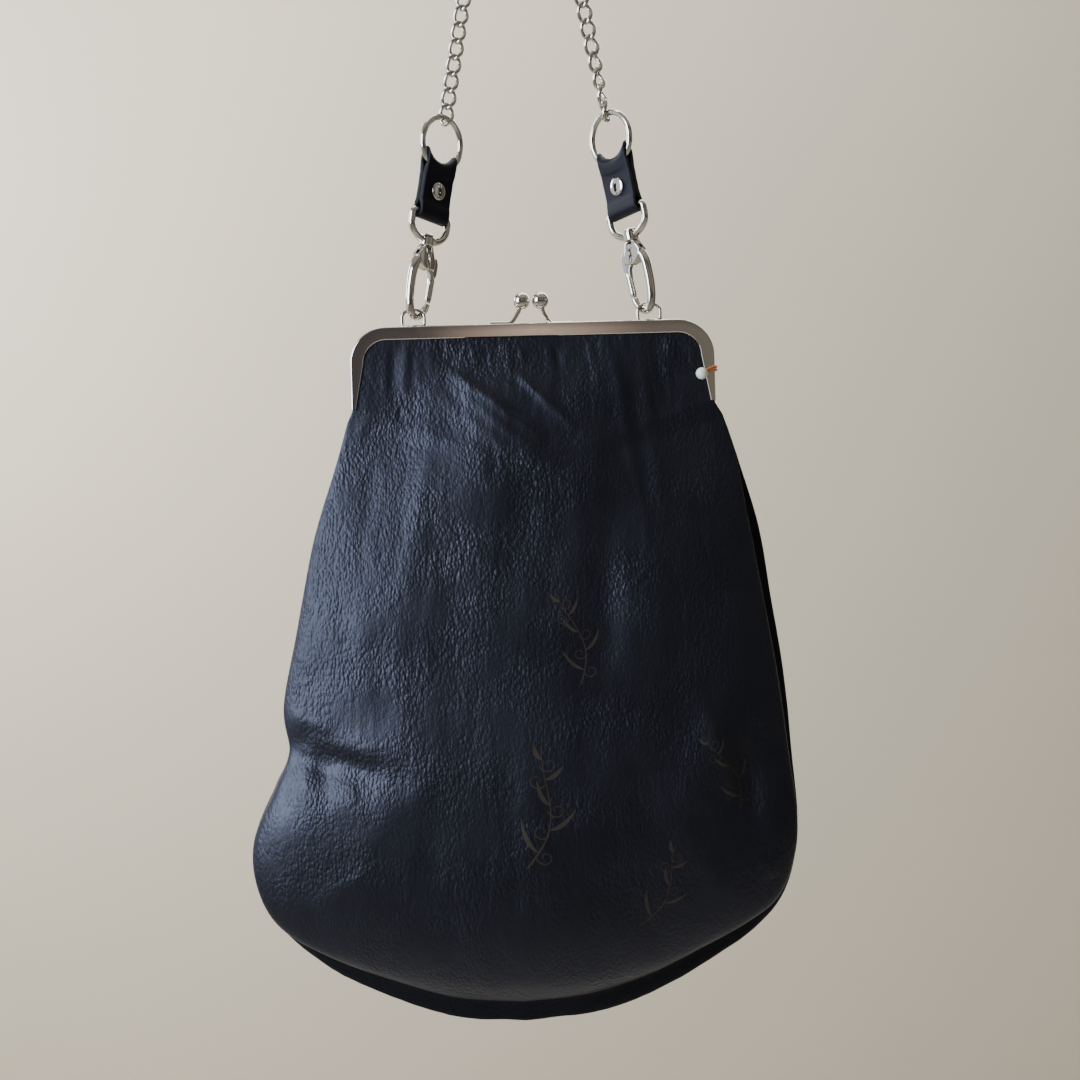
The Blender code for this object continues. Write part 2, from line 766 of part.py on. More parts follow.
BARREL_AT = HOOK_LENGTH + GAP + BARREL_HEIGHT / 2
LOOP_BAR_AT = BARREL_AT + LOOP_HEIGHT
EYE_LOW = LOOP_WIRE / 2 + GAP + LEATHER
EYE_HIGH = O_RING_WIRE / 2 + GAP + LEATHER
RING_RADIUS = O_RING_INNER_RADIUS + O_RING_WIRE / 2
RING_BOTTOM_AT = LOOP_BAR_AT + TAB_LENGTH - EYE_LOW - EYE_HIGH
RING_AT = RING_BOTTOM_AT + RING_RADIUS
RIVET_AT = (LOOP_BAR_AT + RING_BOTTOM_AT) / 2
CHAIN_START_AT = RING_AT + O_RING_INNER_RADIUS - GAP - LINK_PLAY


def build_o_ring(rig, name, group, metal):
    """Round ring between the tab and the chain."""
    points = [rig.at(RING_AT + RING_RADIUS * math.sin(angle), RING_RADIUS * math.cos(angle))
              for angle in (2 * math.pi * step / RING_SIDES for step in range(RING_SIDES))]
    place(name, curve_mesh(name, points, O_RING_WIRE / 2, closed=True, bevel=1), group, metal)


def build_loop(rig, name, group, cutters, metal):
    """Loop for the tab with the barrel in which the hook's post turns."""
    half = (LOOP_INNER_WIDTH + LOOP_WIRE) / 2
    bow = [(half * math.cos(angle), LOOP_HEIGHT * LOOP_BOW * (1 + math.sin(angle)))
           for angle in (math.pi * (1 + step / BOW_STEPS) for step in range(BOW_STEPS + 1))]
    corner = half * LOOP_CORNER
    top = [(half, LOOP_HEIGHT - corner), (half - corner, LOOP_HEIGHT), (corner - half, LOOP_HEIGHT),
           (-half, LOOP_HEIGHT - corner)]
    points = [rig.at(BARREL_AT + up, out) for out, up in bow + top]
    wire = curve_mesh(name, points, LOOP_WIRE / 2, closed=True, bevel=1)
    barrel = moved(cylinder_mesh(f"{name}_barrel", BARREL_RADIUS, BARREL_HEIGHT, BARREL_SIDES),
                   rig.matrix(BARREL_AT))
    bore_radius = POST_RADIUS + GAP
    bore = moved(cylinder_mesh(f"{name}_bore", bore_radius, BARREL_HEIGHT * 2), rig.matrix(BARREL_AT))
    joined = combine(name, wire, [barrel], "UNION", cutters)
    place(name, combine(name, joined, [bore], "DIFFERENCE", cutters), group, metal)


def hook_point(item):
    """A table row as real lengths in the hook's plane."""
    return item.out * HOOK_WIDTH / 2, item.up * HOOK_LENGTH


def build_hook(rig, name, group, cutters, metal):
    """Hook body with its head, post and gate pin, turning about the strap's line."""
    path = [row_curve(HOOK_PATH, step / HOOK_STEPS) for step in range(HOOK_STEPS + 1)]
    points = [(out * HOOK_WIDTH / 2, 0, up * HOOK_LENGTH) for out, up, _ in path]
    body = moved(curve_mesh(name, points, HOOK_WIRE / 2, shares=[wire for *_, wire in path], bevel=1),
                 Matrix.Scale(HOOK_BREADTH, 4, (0, 1, 0)))
    upright = Matrix.Rotation(math.pi / 2, 4, "X")
    head_outline = [hook_point(corner) for corner in HEAD_OUTLINE]
    head = moved(flat_mesh(f"{name}_head", [head_outline], HEAD_THICKNESS), upright)
    slot_outline = [hook_point(corner) for corner in SLOT_OUTLINE]
    slot = moved(flat_mesh(f"{name}_slot", [slot_outline], GATE_THICKNESS + 2 * GAP), upright)
    window_out, window_up = hook_point(HOOK_WINDOW)
    window = moved(cylinder_mesh(f"{name}_window", HOOK_WIRE * WINDOW_SHARE, HOOK_WIDTH, WINDOW_SIDES),
                   Matrix.Translation((window_out, 0, window_up)) @ Matrix.Rotation(math.pi / 2, 4, "Y"))
    pivot_out, pivot_up = hook_point(GATE_PIVOT)
    pin = moved(cylinder_mesh(f"{name}_pin", GATE_PIN_RADIUS, HEAD_THICKNESS * HOOK_PIN_SHARE, SMALL_SIDES),
                Matrix.Translation((pivot_out, 0, pivot_up)) @ upright)
    post_length = BARREL_HEIGHT + 3 * GAP + HOOK_WIRE / 2
    post = moved(cylinder_mesh(f"{name}_post", POST_RADIUS, post_length),
                 Matrix.Translation((0, 0, HOOK_LENGTH - HOOK_WIRE / 2 + post_length / 2)))
    head_at = BARREL_AT + BARREL_HEIGHT / 2 + GAP + POST_HEAD_HEIGHT / 2
    cap = moved(cylinder_mesh(f"{name}_cap", POST_HEAD_RADIUS, POST_HEAD_HEIGHT),
                Matrix.Translation((0, 0, head_at)))
    cheeks = combine(name, head, [slot], "DIFFERENCE", cutters)
    joined = combine(name, cheeks, [body, pin, post, cap], "UNION", cutters)
    piece = place(name, combine(name, joined, [window], "DIFFERENCE", cutters), group, metal)
    piece.matrix_world = rig.matrix(0.0)


def build_gate(rig, name, group, cutters, metal):
    """Sprung gate: a round bar on a flat lever with its thumb piece, its origin on the gate pin."""
    pivot_out, pivot_up = hook_point(GATE_PIVOT)
    outline = [(out - pivot_out, up - pivot_up) for out, up in (hook_point(corner) for corner in GATE_OUTLINE)]
    bore = circle_points(GATE_PIN_RADIUS + GAP, SMALL_SIDES)
    lever = moved(flat_mesh(name, (outline, bore), GATE_THICKNESS), Matrix.Rotation(math.pi / 2, 4, "X"))
    line = [(out - pivot_out, 0, up - pivot_up) for out, up in (hook_point(corner) for corner in GATE_BAR)]
    bar = curve_mesh(f"{name}_bar", line, GATE_BAR_RADIUS, bevel=1)
    piece = place(name, combine(name, lever, [bar], "UNION", cutters), group, metal)
    piece.matrix_world = rig.matrix(pivot_up, pivot_out)


def tab_outline(lining):
    """Side view of the folded tab measured from the rivet, at a depth under its outer face."""
    high = RING_BOTTOM_AT - RIVET_AT
    low = LOOP_BAR_AT - RIVET_AT
    waist = TAB_HALF - lining
    flat = RIVET_CAP_RADIUS + 2 * GAP
    line = []
    for middle, full, first in ((high, EYE_HIGH, 0.0), (low, EYE_LOW, math.pi)):
        radius = full - lining
        round_out = 1 / math.cos(math.pi / TAB_EYE_STEPS / 2) if lining else 1.0
        for step in range(TAB_EYE_STEPS + 1):
            angle = first + math.pi * step / TAB_EYE_STEPS
            line.append((radius * round_out * math.cos(angle), middle + radius * round_out * math.sin(angle)))
        sign = math.cos(first)
        flank = mix(flat, abs(middle), TAB_FLANK)
        line.append((-sign * mix(radius, waist, TAB_FLARE), sign * flank))
        line.append((-sign * waist, sign * flat))
        line.append((-sign * waist, -sign * flat))
        line.append((-sign * mix(radius, waist, TAB_FLARE), -sign * flank))
    return line


def build_tab(rig, name, group, cutters, leather):
    """Leather strip folded around both rings and pinched by the rivet."""
    mesh = flat_mesh(name, [tab_outline(0.0), tab_outline(LEATHER)], LEATHER_TAB_WIDTH)
    shape = bmesh.new()
    shape.from_mesh(mesh)
    for step in range(1, TAB_SLICES):
        across = LEATHER_TAB_WIDTH * (step / TAB_SLICES - 0.5)
        bmesh.ops.bisect_plane(shape, geom=shape.verts[:] + shape.edges[:] + shape.faces[:],
                               plane_co=(0, 0, across), plane_no=(0, 0, 1))
    high = RING_BOTTOM_AT - RIVET_AT
    for vertex in shape.verts:
        level = math.sqrt(RING_RADIUS ** 2 - vertex.co.z ** 2)
        above = smooth((vertex.co.y / high - TAB_SADDLE_FROM) / TAB_SADDLE_SPAN)
        around = vertex.co.y - high if vertex.co.y > high * TAB_EYE_FROM else 0.0
        vertex.co.y += above * (RING_RADIUS - level + around * (RING_RADIUS / level - 1))
    mesh = mesh_of(shape, name)
    turn = Matrix(((0, 0, 1, 0), (1, 0, 0, 0), (0, 1, 0, 0), (0, 0, 0, 1)))
    mesh = moved(mesh, turn)
    hole = moved(cylinder_mesh(f"{name}_hole", RIVET_SHANK_RADIUS + GAP, TAB_HALF * 4, PIN_SIDES),
                 Matrix.Rotation(math.pi / 2, 4, "X"))
    piece = place(name, combine(name, mesh, [hole], "DIFFERENCE", cutters), group, leather)
    piece.matrix_world = rig.matrix(RIVET_AT)


def build_rivet(rig, name, group, metal):
    """Double cap rivet, turned."""
    waist = TAB_HALF + GAP
    profile = [(RIVET_CAP_RADIUS * row.radius, waist + RIVET_CAP_HEIGHT * row.height) for row in CAP_PROFILE]
    profile.append((RIVET_SHANK_RADIUS, waist))
    points = profile + [(radius, -z) for radius, z in reversed(profile)]
    shape = bmesh.new()
    corners = [shape.verts.new((radius, 0, z)) for radius, z in points]
    for start, end in zip(corners, corners[1:]):
        shape.edges.new((start, end))
    mesh = bpy.data.meshes.new(name)
    shape.to_mesh(mesh)
    shape.free()
    piece = place(name, mesh, group, metal)
    turned = piece.modifiers.new("turned", "SCREW")
    turned.steps = ROUND_SIDES
    turned.render_steps = ROUND_SIDES
    turned.use_merge_vertices = True
    turned.merge_threshold = 0.00001
    piece.matrix_world = rig.matrix(RIVET_AT) @ Matrix.Rotation(math.pi / 2, 4, "X")


def chain_route(rigs):
    """Even steps of the chain's line, from one ring up and over to the other."""
    start, end = (rig.at(CHAIN_START_AT) for rig in rigs)
    turn = math.pi / 2 - STRAP_LEAN
    top = LINK_WIDTH / 2
    centre = Vector((0, 0, top - CHAIN_TOP_RADIUS))
    leave = centre + CHAIN_TOP_RADIUS * Vector((-math.sin(turn), 0, math.cos(turn)))
    arm = (leave - start).length
    arc = 2 * turn * CHAIN_TOP_RADIUS
    total = 2 * arm + arc

    def along(distance):
        if distance < arm:
            return start.lerp(leave, distance / arm)
        if distance < arm + arc:
            angle = (distance - arm) / CHAIN_TOP_RADIUS - turn
            return centre + CHAIN_TOP_RADIUS * Vector((math.sin(angle), 0, math.cos(angle)))
        back = Vector((-leave.x, leave.y, leave.z))
        return back.lerp(end, (distance - arm - arc) / arm)

    count = round(total / LINK_PITCH)
    low, high = LINK_PITCH * 0.8, LINK_PITCH * 1.2
    for _ in range(40):
        pitch = (low + high) / 2
        stops, reached = chord_steps(along, count, pitch, total)
        low, high = (low, pitch) if reached else (pitch, high)
    stops[-1] = end
    return stops, pitch


def chord_steps(along, count, pitch, total):
    """Walk a line in straight steps. Says whether the walk ran past the line's end."""
    distance = 0.0
    stops = [along(0.0)]
    for _ in range(count):
        near, far = distance, min(distance + 1.6 * pitch, total + pitch)
        for _ in range(30):
            middle = (near + far) / 2
            close = (along(middle) - stops[-1]).length < pitch
            near, far = (middle, far) if close else (near, middle)
        distance = far
        stops.append(along(min(distance, total + pitch)))
    return stops, distance > total


def link_mesh(name, start, end, turn, pitch):
    """One twisted link between two contact points."""
    along = (end - start).normalized()
    side = Vector((0, 1, 0))
    other = along.cross(side)
    half = (pitch - LINK_OVERLAP + LINK_WIRE) / 2
    half_width = (LINK_WIDTH - LINK_WIRE) / 2
    points = []
    for step in range(LINK_SIDES):
        angle = 2 * math.pi * step / LINK_SIDES
        plane = turn + LINK_TWIST * math.cos(angle)
        sideways = side * math.cos(plane) + other * math.sin(plane)
        middle = (start + end) / 2
        points.append(middle + along * half * math.cos(angle) + sideways * half_width * math.sin(angle))
    return curve_mesh(name, points, LINK_WIRE / 2, closed=True, bevel=1)


def build_chain(rigs, group, cutters, metal):
    """Interlocked curb links, fused where they touch."""
    stops, pitch = chain_route(rigs)
    first_turn = HARDWARE_TURN + LINK_TWIST
    last_turn = HARDWARE_TURN - LINK_TWIST
    rows = ([], [])
    for index, (start, end) in enumerate(zip(stops, stops[1:])):
        turning = (index - len(stops) + 2 + LINKS_TURNING) / LINKS_TURNING
        turn = mix(first_turn, last_turn, min(max(turning, 0.0), 1.0))
        rows[index % 2].append(link_mesh(f"link_{index}", start, end, turn, pitch))
    halves = [joined_mesh(f"links_{index}", links) for index, links in enumerate(rows)]
    mesh = combine("strap_chain", halves[0], [halves[1]], "UNION", cutters)
    place("strap_chain", mesh, group, metal)


def joined_mesh(name, meshes):
    """Several meshes as one, side by side."""
    shape = bmesh.new()
    for mesh in meshes:
        shape.from_mesh(mesh)
    joined = bpy.data.meshes.new(name)
    shape.to_mesh(joined)
    shape.free()
    return joined


def build_bead(group, cutters, pearl, thread):
    """White bead in front of the leather, and the doubled thread that ties it to the frame."""
    wall_y = SPLIT_Y - LEATHER_OUTER - LEATHER
    centre = Vector((BEAD_X, wall_y - BEAD_RADIUS - LEATHER, FRAME_TOP + BEAD_Z))
    outer = Vector((FRAME_WIDTH / 2 + THREAD_RADIUS + GAP, SPLIT_Y - CHANNEL_OUTER, FRAME_TOP + THREAD_Z))
    front = Vector((FRAME_WIDTH / 2 - METAL, SPLIT_Y - CHANNEL_OUTER - THREAD_RADIUS - GAP,
                    FRAME_TOP + THREAD_Z))
    along = (front - centre).normalized()
    turn = along.to_track_quat("Z", "Y").to_matrix().to_4x4()
    bore = moved(cylinder_mesh("edge_bead_bore", BEAD_BORE_RADIUS, BEAD_RADIUS * 2, PIN_SIDES),
                 Matrix.Translation(centre + along * BEAD_RADIUS) @ turn)
    ball = moved(ball_mesh("edge_bead", BEAD_RADIUS), Matrix.Translation(centre))
    place("edge_bead", combine("edge_bead", ball, [bore], "DIFFERENCE", cutters), group, pearl)
    apart = Vector((0, 0, THREAD_RADIUS * THREAD_SPREAD))
    run = [centre + along * BEAD_RADIUS * share for share in THREAD_ENDS]
    run += [front, outer, outer + Vector((0, CHANNEL_DEPTH * THREAD_WRAP, 0))]
    points = [point - apart for point in reversed(run)]
    points.append(run[0] - along * THREAD_RADIUS)
    points.extend(point + apart for point in run)
    place("bead_thread", curve_mesh("bead_thread", points, THREAD_RADIUS, bevel=1), group, thread)


def main():
    """Build the whole bag."""
    clear_scene()
    group = new_collection("clasp_frame_bag")
    cutters = new_collection("cutters")
    leather = new_material("leather", LEATHER_COLOUR, 0.45)
    metal = new_material("polished_nickel", NICKEL_COLOUR, 0.12, 1.0)
    pearl = new_material("bead_white", BEAD_COLOUR, 0.30)
    thread = new_material("orange_thread", THREAD_COLOUR, 0.75)
    for name, wall in (("front_panel", FRONT_WALL), ("back_panel", BACK_WALL)):
        place(name, wall_mesh(wall, name), group, leather, WALL_SMOOTH_ANGLE)
    build_frame(group, cutters, metal)
    rigs = [strap_rig(side) for side in (-1, 1)]
    for rig, end in zip(rigs, ("left", "right")):
        build_o_ring(rig, f"o_ring_{end}", group, metal)
        build_loop(rig, f"swivel_loop_{end}", group, cutters, metal)
        build_hook(rig, f"hook_{end}", group, cutters, metal)
        build_gate(rig, f"gate_{end}", group, cutters, metal)
        build_tab(rig, f"tab_{end}", group, cutters, leather)
        build_rivet(rig, f"rivet_{end}", group, metal)
    build_chain(rigs, group, cutters, metal)
    build_bead(group, cutters, pearl, thread)


main()
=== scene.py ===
"""Dressed scene of a leather clasp frame bag hanging from its chain strap.

Metres, +X to the right as the clasp is seen, +Y away from the viewer, +Z up. The
origin is the point where the chain hangs.
"""
from __future__ import annotations

import logging
import math
from dataclasses import dataclass, field
from enum import Enum
from typing import Any, Callable, Iterable, NamedTuple, Sequence

import bmesh
import bpy
from bmesh.types import BMesh, BMVert
from bpy.types import Material, Mesh, Node, NodeSocket, NodeTree, Object
from mathutils import Matrix, Vector, noise
from mathutils.bvhtree import BVHTree

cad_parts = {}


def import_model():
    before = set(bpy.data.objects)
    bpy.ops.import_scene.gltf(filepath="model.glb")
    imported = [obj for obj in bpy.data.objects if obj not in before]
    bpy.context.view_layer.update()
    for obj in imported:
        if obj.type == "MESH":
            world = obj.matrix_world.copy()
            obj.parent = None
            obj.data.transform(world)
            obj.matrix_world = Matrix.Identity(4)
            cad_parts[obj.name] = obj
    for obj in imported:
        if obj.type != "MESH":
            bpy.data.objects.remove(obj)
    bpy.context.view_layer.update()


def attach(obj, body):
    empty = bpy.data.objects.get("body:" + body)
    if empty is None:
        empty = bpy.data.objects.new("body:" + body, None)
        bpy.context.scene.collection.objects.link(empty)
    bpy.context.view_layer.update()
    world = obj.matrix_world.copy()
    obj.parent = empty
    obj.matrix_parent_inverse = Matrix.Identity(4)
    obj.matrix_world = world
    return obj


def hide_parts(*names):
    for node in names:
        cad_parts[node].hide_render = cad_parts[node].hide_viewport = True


LOG = logging.getLogger("clasp_frame_bag")
MM = 0.001
GAP = 0.0003
WELD = 0.00001
FINE_WELD = 0.000002

# Lengths in metres and angles that several pieces share
FRAME_WIDTH = 0.200
D_RING_X = 0.0652
D_RING_HEIGHT = 0.0113
D_RING_WIRE = 0.0018
SOLDER = 0.0003
FRAME_TOP = -0.3008035
SPLIT_Y = -0.00245
CHANNEL_DEPTH = 0.0046
METAL = 0.0008
LEATHER = 0.0018
CHANNEL_OUTER = GAP / 2 + CHANNEL_DEPTH
LEATHER_OUTER = CHANNEL_OUTER - METAL - GAP
STRAP_LEAN = math.radians(10.3)
HARDWARE_TURN = math.radians(48)
UPRIGHT = Matrix.Rotation(math.pi / 2, 4, "X")

Colour = tuple[float, float, float]


class Labelled(Enum):
    """A choice whose name goes into piece names."""

    @property
    def label(self) -> str:
        """Word used in piece names."""
        return self.name.lower()


class Side(Labelled):
    """End of the bag, as the clasp is seen."""

    LEFT = -1
    RIGHT = 1


class Half(Labelled):
    """Half of the frame and the wall that is sewn to it."""

    FRONT = -1
    BACK = 1


class Slot(Enum):
    """Material slots that the record names."""

    LEATHER = "leather_black"
    NICKEL = "polished_nickel"
    BEAD = "bead_white"
    THREAD = "orange_thread"


def mix(low: Any, high: Any, share: float) -> Any:
    """Blend two numbers or vectors."""
    return low * (1 - share) + high * share


def smooth(value: float) -> float:
    """Smooth step from 0 to 1."""
    value = min(max(value, 0.0), 1.0)
    return value * value * (3 - 2 * value)


def angles(whole: float, steps: int, closed: bool = False) -> list[float]:
    """Even angles from zero to a whole one."""
    return [whole * step / steps for step in range(steps if closed else steps + 1)]


def row_curve(rows: Sequence[Sequence[float]], share: float) -> list[float]:
    """Smooth curve through rows of numbers.

    Args:
        rows: Rows that the curve goes through.
        share: Place along the rows, from 0 to 1.

    Returns:
        The row at that place.
    """
    last = len(rows) - 1
    at = min(max(share, 0.0), 1.0) * last
    first = min(int(at), last - 1)
    rest = at - first
    before = rows[max(first - 1, 0)]
    after = rows[min(first + 2, last)]
    point = []
    for p0, p1, p2, p3 in zip(before, rows[first], rows[first + 1], after):
        bend = 2 * p0 - 5 * p1 + 4 * p2 - p3
        point.append(0.5 * (2 * p1 + (p2 - p0) * rest + bend * rest ** 2
                            + (3 * p1 - p0 - 3 * p2 + p3) * rest ** 3))
    return point


def table_value(rows: Sequence[Sequence[float]], at: float) -> float:
    """Smoothly blended value between rows of a place and a value.

    Args:
        rows: Rows of place and value.
        at: Place to read.

    Returns:
        The value there.
    """
    for low, high in zip(rows, rows[1:]):
        if at <= high[0]:
            return mix(low[1], high[1], smooth((at - low[0]) / (high[0] - low[0])))
    return rows[-1][1]


def added(name: str, data: Any) -> Object:
    """Put a mesh, curve, light or camera in the scene.

    Args:
        name: Name of the object.
        data: What it shows.

    Returns:
        The new object.
    """
    item = bpy.data.objects.new(name, data)
    bpy.context.scene.collection.objects.link(item)
    return item


class Graph:
    """Adds nodes to a shader or geometry tree and joins them."""

    MIX_LOW = 6
    MIX_HIGH = 7
    MIX_RESULT = 2

    def __init__(self, tree: NodeTree) -> None:
        """Keep the tree that nodes go into."""
        self.tree = tree

    def feed(self, node: Node, inputs: dict[Any, Any]) -> None:
        """Set a node's inputs.

        Args:
            node: The node.
            inputs: Socket name or index to a value, or to the socket that feeds it.
        """
        for key, value in inputs.items():
            if isinstance(value, NodeSocket):
                self.tree.links.new(value, node.inputs[key])
            else:
                node.inputs[key].default_value = value

    def add(self, kind: str, inputs: dict[Any, Any] | None = None, **settings: Any) -> Node:
        """Add a node.

        Args:
            kind: Node type.
            inputs: Socket name or index to a value, or to the socket that feeds it.
            settings: Node properties.

        Returns:
            The new node.
        """
        node = self.tree.nodes.new(kind)
        for name, value in settings.items():
            setattr(node, name, value)
        self.feed(node, inputs or {})
        return node

    def noise(self, place: NodeSocket, scale: float, detail: float, roughness: float = 0.5,
              distortion: float = 0.0) -> Node:
        """Add cloudy noise."""
        return self.add("ShaderNodeTexNoise", {"Vector": place, "Scale": scale, "Detail": detail,
                                               "Roughness": roughness, "Distortion": distortion})

    def cells(self, place: NodeSocket, scale: float, feature: str) -> NodeSocket:
        """Add cells, and give the distance that the feature names."""
        node = self.add("ShaderNodeTexVoronoi", {"Vector": place, "Scale": scale}, feature=feature)
        return node.outputs["Distance"]

    def vectors(self, operation: str, one: Any, other: Any) -> NodeSocket:
        """Add arithmetic with two vectors, and give the result."""
        return self.add("ShaderNodeVectorMath", {0: one, 1: other}, operation=operation).outputs[0]

    def math(self, operation: str, *values: Any) -> NodeSocket:
        """Add arithmetic."""
        return self.add("ShaderNodeMath", dict(enumerate(values)), operation=operation).outputs[0]

    def spread(self, value: NodeSocket, start: float, end: float, low: float = 0.0,
               high: float = 1.0) -> NodeSocket:
        """Stretch a range of values to another, and hold it there."""
        return self.add("ShaderNodeMapRange", {"Value": value, "From Min": start, "From Max": end,
                                               "To Min": low, "To Max": high}).outputs[0]

    def stretched(self, place: NodeSocket, scale: tuple[float, float, float]) -> NodeSocket:
        """Scale coordinates."""
        return self.add("ShaderNodeMapping", {"Vector": place, "Scale": scale}).outputs[0]

    def blend(self, share: NodeSocket, low: Any, high: Any) -> NodeSocket:
        """Mix two colours.

        Args:
            share: How much of the second one.
            low: Colour or socket at share 0.
            high: Colour or socket at share 1.

        Returns:
            The mixed colour.
        """
        ends = [value if isinstance(value, NodeSocket) else (*value, 1.0) for value in (low, high)]
        return self.add("ShaderNodeMix", {"Factor": share, self.MIX_LOW: ends[0], self.MIX_HIGH: ends[1]},
                        data_type="RGBA").outputs[self.MIX_RESULT]

    def bump(self, height: NodeSocket, depth: float,
             under: NodeSocket | None = None) -> NodeSocket:
        """Add bump relief.

        Args:
            height: Height of the relief.
            depth: Its depth in metres.
            under: Relief that it lies on.

        Returns:
            The bumped normal.
        """
        inputs = {"Height": height, "Strength": 1.0, "Distance": depth}
        if under is not None:
            inputs["Normal"] = under
        return self.add("ShaderNodeBump", inputs).outputs[0]


class GeometryRecipe:
    """A Geometry Nodes group with named inputs, run once and turned into a mesh."""

    def __init__(self, name: str) -> None:
        """Start an empty group with geometry in and out.

        Args:
            name: Name of the group.
        """
        self.tree = bpy.data.node_groups.new(name, "GeometryNodeTree")
        for way in ("INPUT", "OUTPUT"):
            self.tree.interface.new_socket("Geometry", in_out=way, socket_type="NodeSocketGeometry")
        self.graph = Graph(self.tree)
        self.start = self.tree.nodes.new("NodeGroupInput")
        self.end = self.tree.nodes.new("NodeGroupOutput")

    def value(self, name: str, kind: str) -> NodeSocket:
        """Add a named input to the group."""
        self.tree.interface.new_socket(name, in_out="INPUT", socket_type=f"NodeSocket{kind}")
        return self.start.outputs[name]

    def finish(self, geometry: NodeSocket, material: NodeSocket) -> None:
        """End the group with real geometry that carries its material.

        Args:
            geometry: What the group has made.
            material: Material input.
        """
        real = self.graph.add("GeometryNodeRealizeInstances", {"Geometry": geometry})
        even = self.graph.add("GeometryNodeSetShadeSmooth", {"Geometry": real.outputs[0]})
        painted = self.graph.add("GeometryNodeSetMaterial", {"Geometry": even.outputs[0], "Material": material})
        self.graph.feed(self.end, {0: painted.outputs[0]})

    def run(self, mesh: Mesh, values: dict[str, Any]) -> Mesh:
        """Run the group on a mesh.

        Args:
            mesh: Guide mesh.
            values: Input name to value.

        Returns:
            The finished mesh.
        """
        guide = added("guide", mesh)
        step = guide.modifiers.new("recipe", "NODES")
        step.node_group = self.tree
        for item in self.tree.interface.items_tree:
            if item.in_out == "INPUT" and item.name in values:
                step[item.identifier] = values[item.name]
        guide.update_tag()
        view = bpy.context.evaluated_depsgraph_get()
        made = bpy.data.meshes.new_from_object(guide.evaluated_get(view), depsgraph=view)
        guide.modifiers.remove(step)
        bpy.data.objects.remove(guide, do_unlink=True)
        return made


class WireRecipe(GeometryRecipe):
    """Sweeps a round section along a guide line, thicker or thinner by a share at each point."""

    SHARE = "wire_share"

    def __init__(self) -> None:
        """Build the group."""
        super().__init__("round_wire")
        radius = self.value("Radius", "Float")
        sides = self.value("Sides", "Int")
        caps = self.value("Caps", "Bool")
        material = self.value("Material", "Material")
        add = self.graph.add
        line = add("GeometryNodeMeshToCurve", {"Mesh": self.start.outputs[0]})
        section = add("GeometryNodeCurvePrimitiveCircle", {"Resolution": sides, "Radius": radius})
        share = add("GeometryNodeInputNamedAttribute", {"Name": self.SHARE}, data_type="FLOAT")
        swept = add("GeometryNodeCurveToMesh", {
            "Curve": line.outputs[0], "Profile Curve": section.outputs[0],
            "Scale": share.outputs["Attribute"], "Fill Caps": caps})
        self.finish(swept.outputs[0], material)

    def wire(self, points: Sequence[Vector], radius: float, material: Material, closed: bool = False,
             shares: Sequence[float] | None = None, sides: int = 16) -> Mesh:
        """Sweep one wire.

        Args:
            points: Points of the centreline.
            radius: Radius of the wire.
            material: Its material.
            closed: Whether the line meets itself.
            shares: Share of the radius at each point.
            sides: Sides of the section.

        Returns:
            The wire's mesh.
        """
        line = bpy.data.meshes.new("wire_line")
        edges = [(index, index + 1) for index in range(len(points) - 1)]
        if closed:
            edges.append((len(points) - 1, 0))
        line.from_pydata([tuple(point) for point in points], edges, [])
        layer = line.attributes.new(self.SHARE, "FLOAT", "POINT")
        for index in range(len(points)):
            layer.data[index].value = shares[index] if shares else 1.0
        return self.run(line, {"Radius": radius, "Sides": sides, "Caps": not closed, "Material": material})


class RepeatRecipe(GeometryRecipe):
    """Puts copies of one shape on the points of a guide mesh, turned by a stored rotation."""

    TURN = "turn"
    GROWTH = "growth"

    def __init__(self, name: str) -> None:
        """Build the group.

        Args:
            name: What is repeated.
        """
        super().__init__(name)
        shape = self.value("Shape", "Object")
        material = self.value("Material", "Material")
        add = self.graph.add
        source = add("GeometryNodeObjectInfo", {"Object": shape})
        turn = add("GeometryNodeInputNamedAttribute", {"Name": self.TURN}, data_type="FLOAT_VECTOR")
        growth = add("GeometryNodeInputNamedAttribute", {"Name": self.GROWTH}, data_type="FLOAT_VECTOR")
        angles = add("FunctionNodeEulerToRotation", {"Euler": turn.outputs["Attribute"]})
        copies = add("GeometryNodeInstanceOnPoints", {
            "Points": self.start.outputs[0], "Instance": source.outputs["Geometry"],
            "Rotation": angles.outputs[0], "Scale": growth.outputs["Attribute"]})
        self.finish(copies.outputs[0], material)

    def copies(self, shape: Mesh, places: Sequence[Matrix],
               material: Material) -> Mesh:
        """Repeat a shape.

        Args:
            shape: The shape, about the origin.
            places: A matrix for each copy.
            material: Material of the copies.

        Returns:
            All copies as one mesh.
        """
        source = added("repeat_source", shape)
        points = bpy.data.meshes.new("repeat_points")
        points.from_pydata([tuple(matrix.to_translation()) for matrix in places], [], [])
        turns = points.attributes.new(self.TURN, "FLOAT_VECTOR", "POINT")
        growths = points.attributes.new(self.GROWTH, "FLOAT_VECTOR", "POINT")
        for index, matrix in enumerate(places):
            turns.data[index].vector = tuple(matrix.to_euler())
            growths.data[index].vector = tuple(matrix.to_scale())
        made = self.run(points, {"Shape": source, "Material": material})
        bpy.data.objects.remove(source, do_unlink=True)
        return made


class Draft:
    """A new material with its nodes and the place on the object."""

    def __init__(self, name: str, colour: Colour) -> None:
        """Start the material.

        Args:
            name: Its name.
            colour: Its colour in a plain viewport.
        """
        self.material = bpy.data.materials.new(name)
        self.material.use_nodes = True
        self.material.diffuse_color = (*colour, 1.0)
        self.graph = Graph(self.material.node_tree)
        self.place = self.graph.add("ShaderNodeTexCoord").outputs["Object"]

    def finish(self, inputs: dict[str, Any]) -> Material:
        """Set the shader's own sockets."""
        self.graph.feed(self.material.node_tree.nodes["Principled BSDF"], inputs)
        return self.material


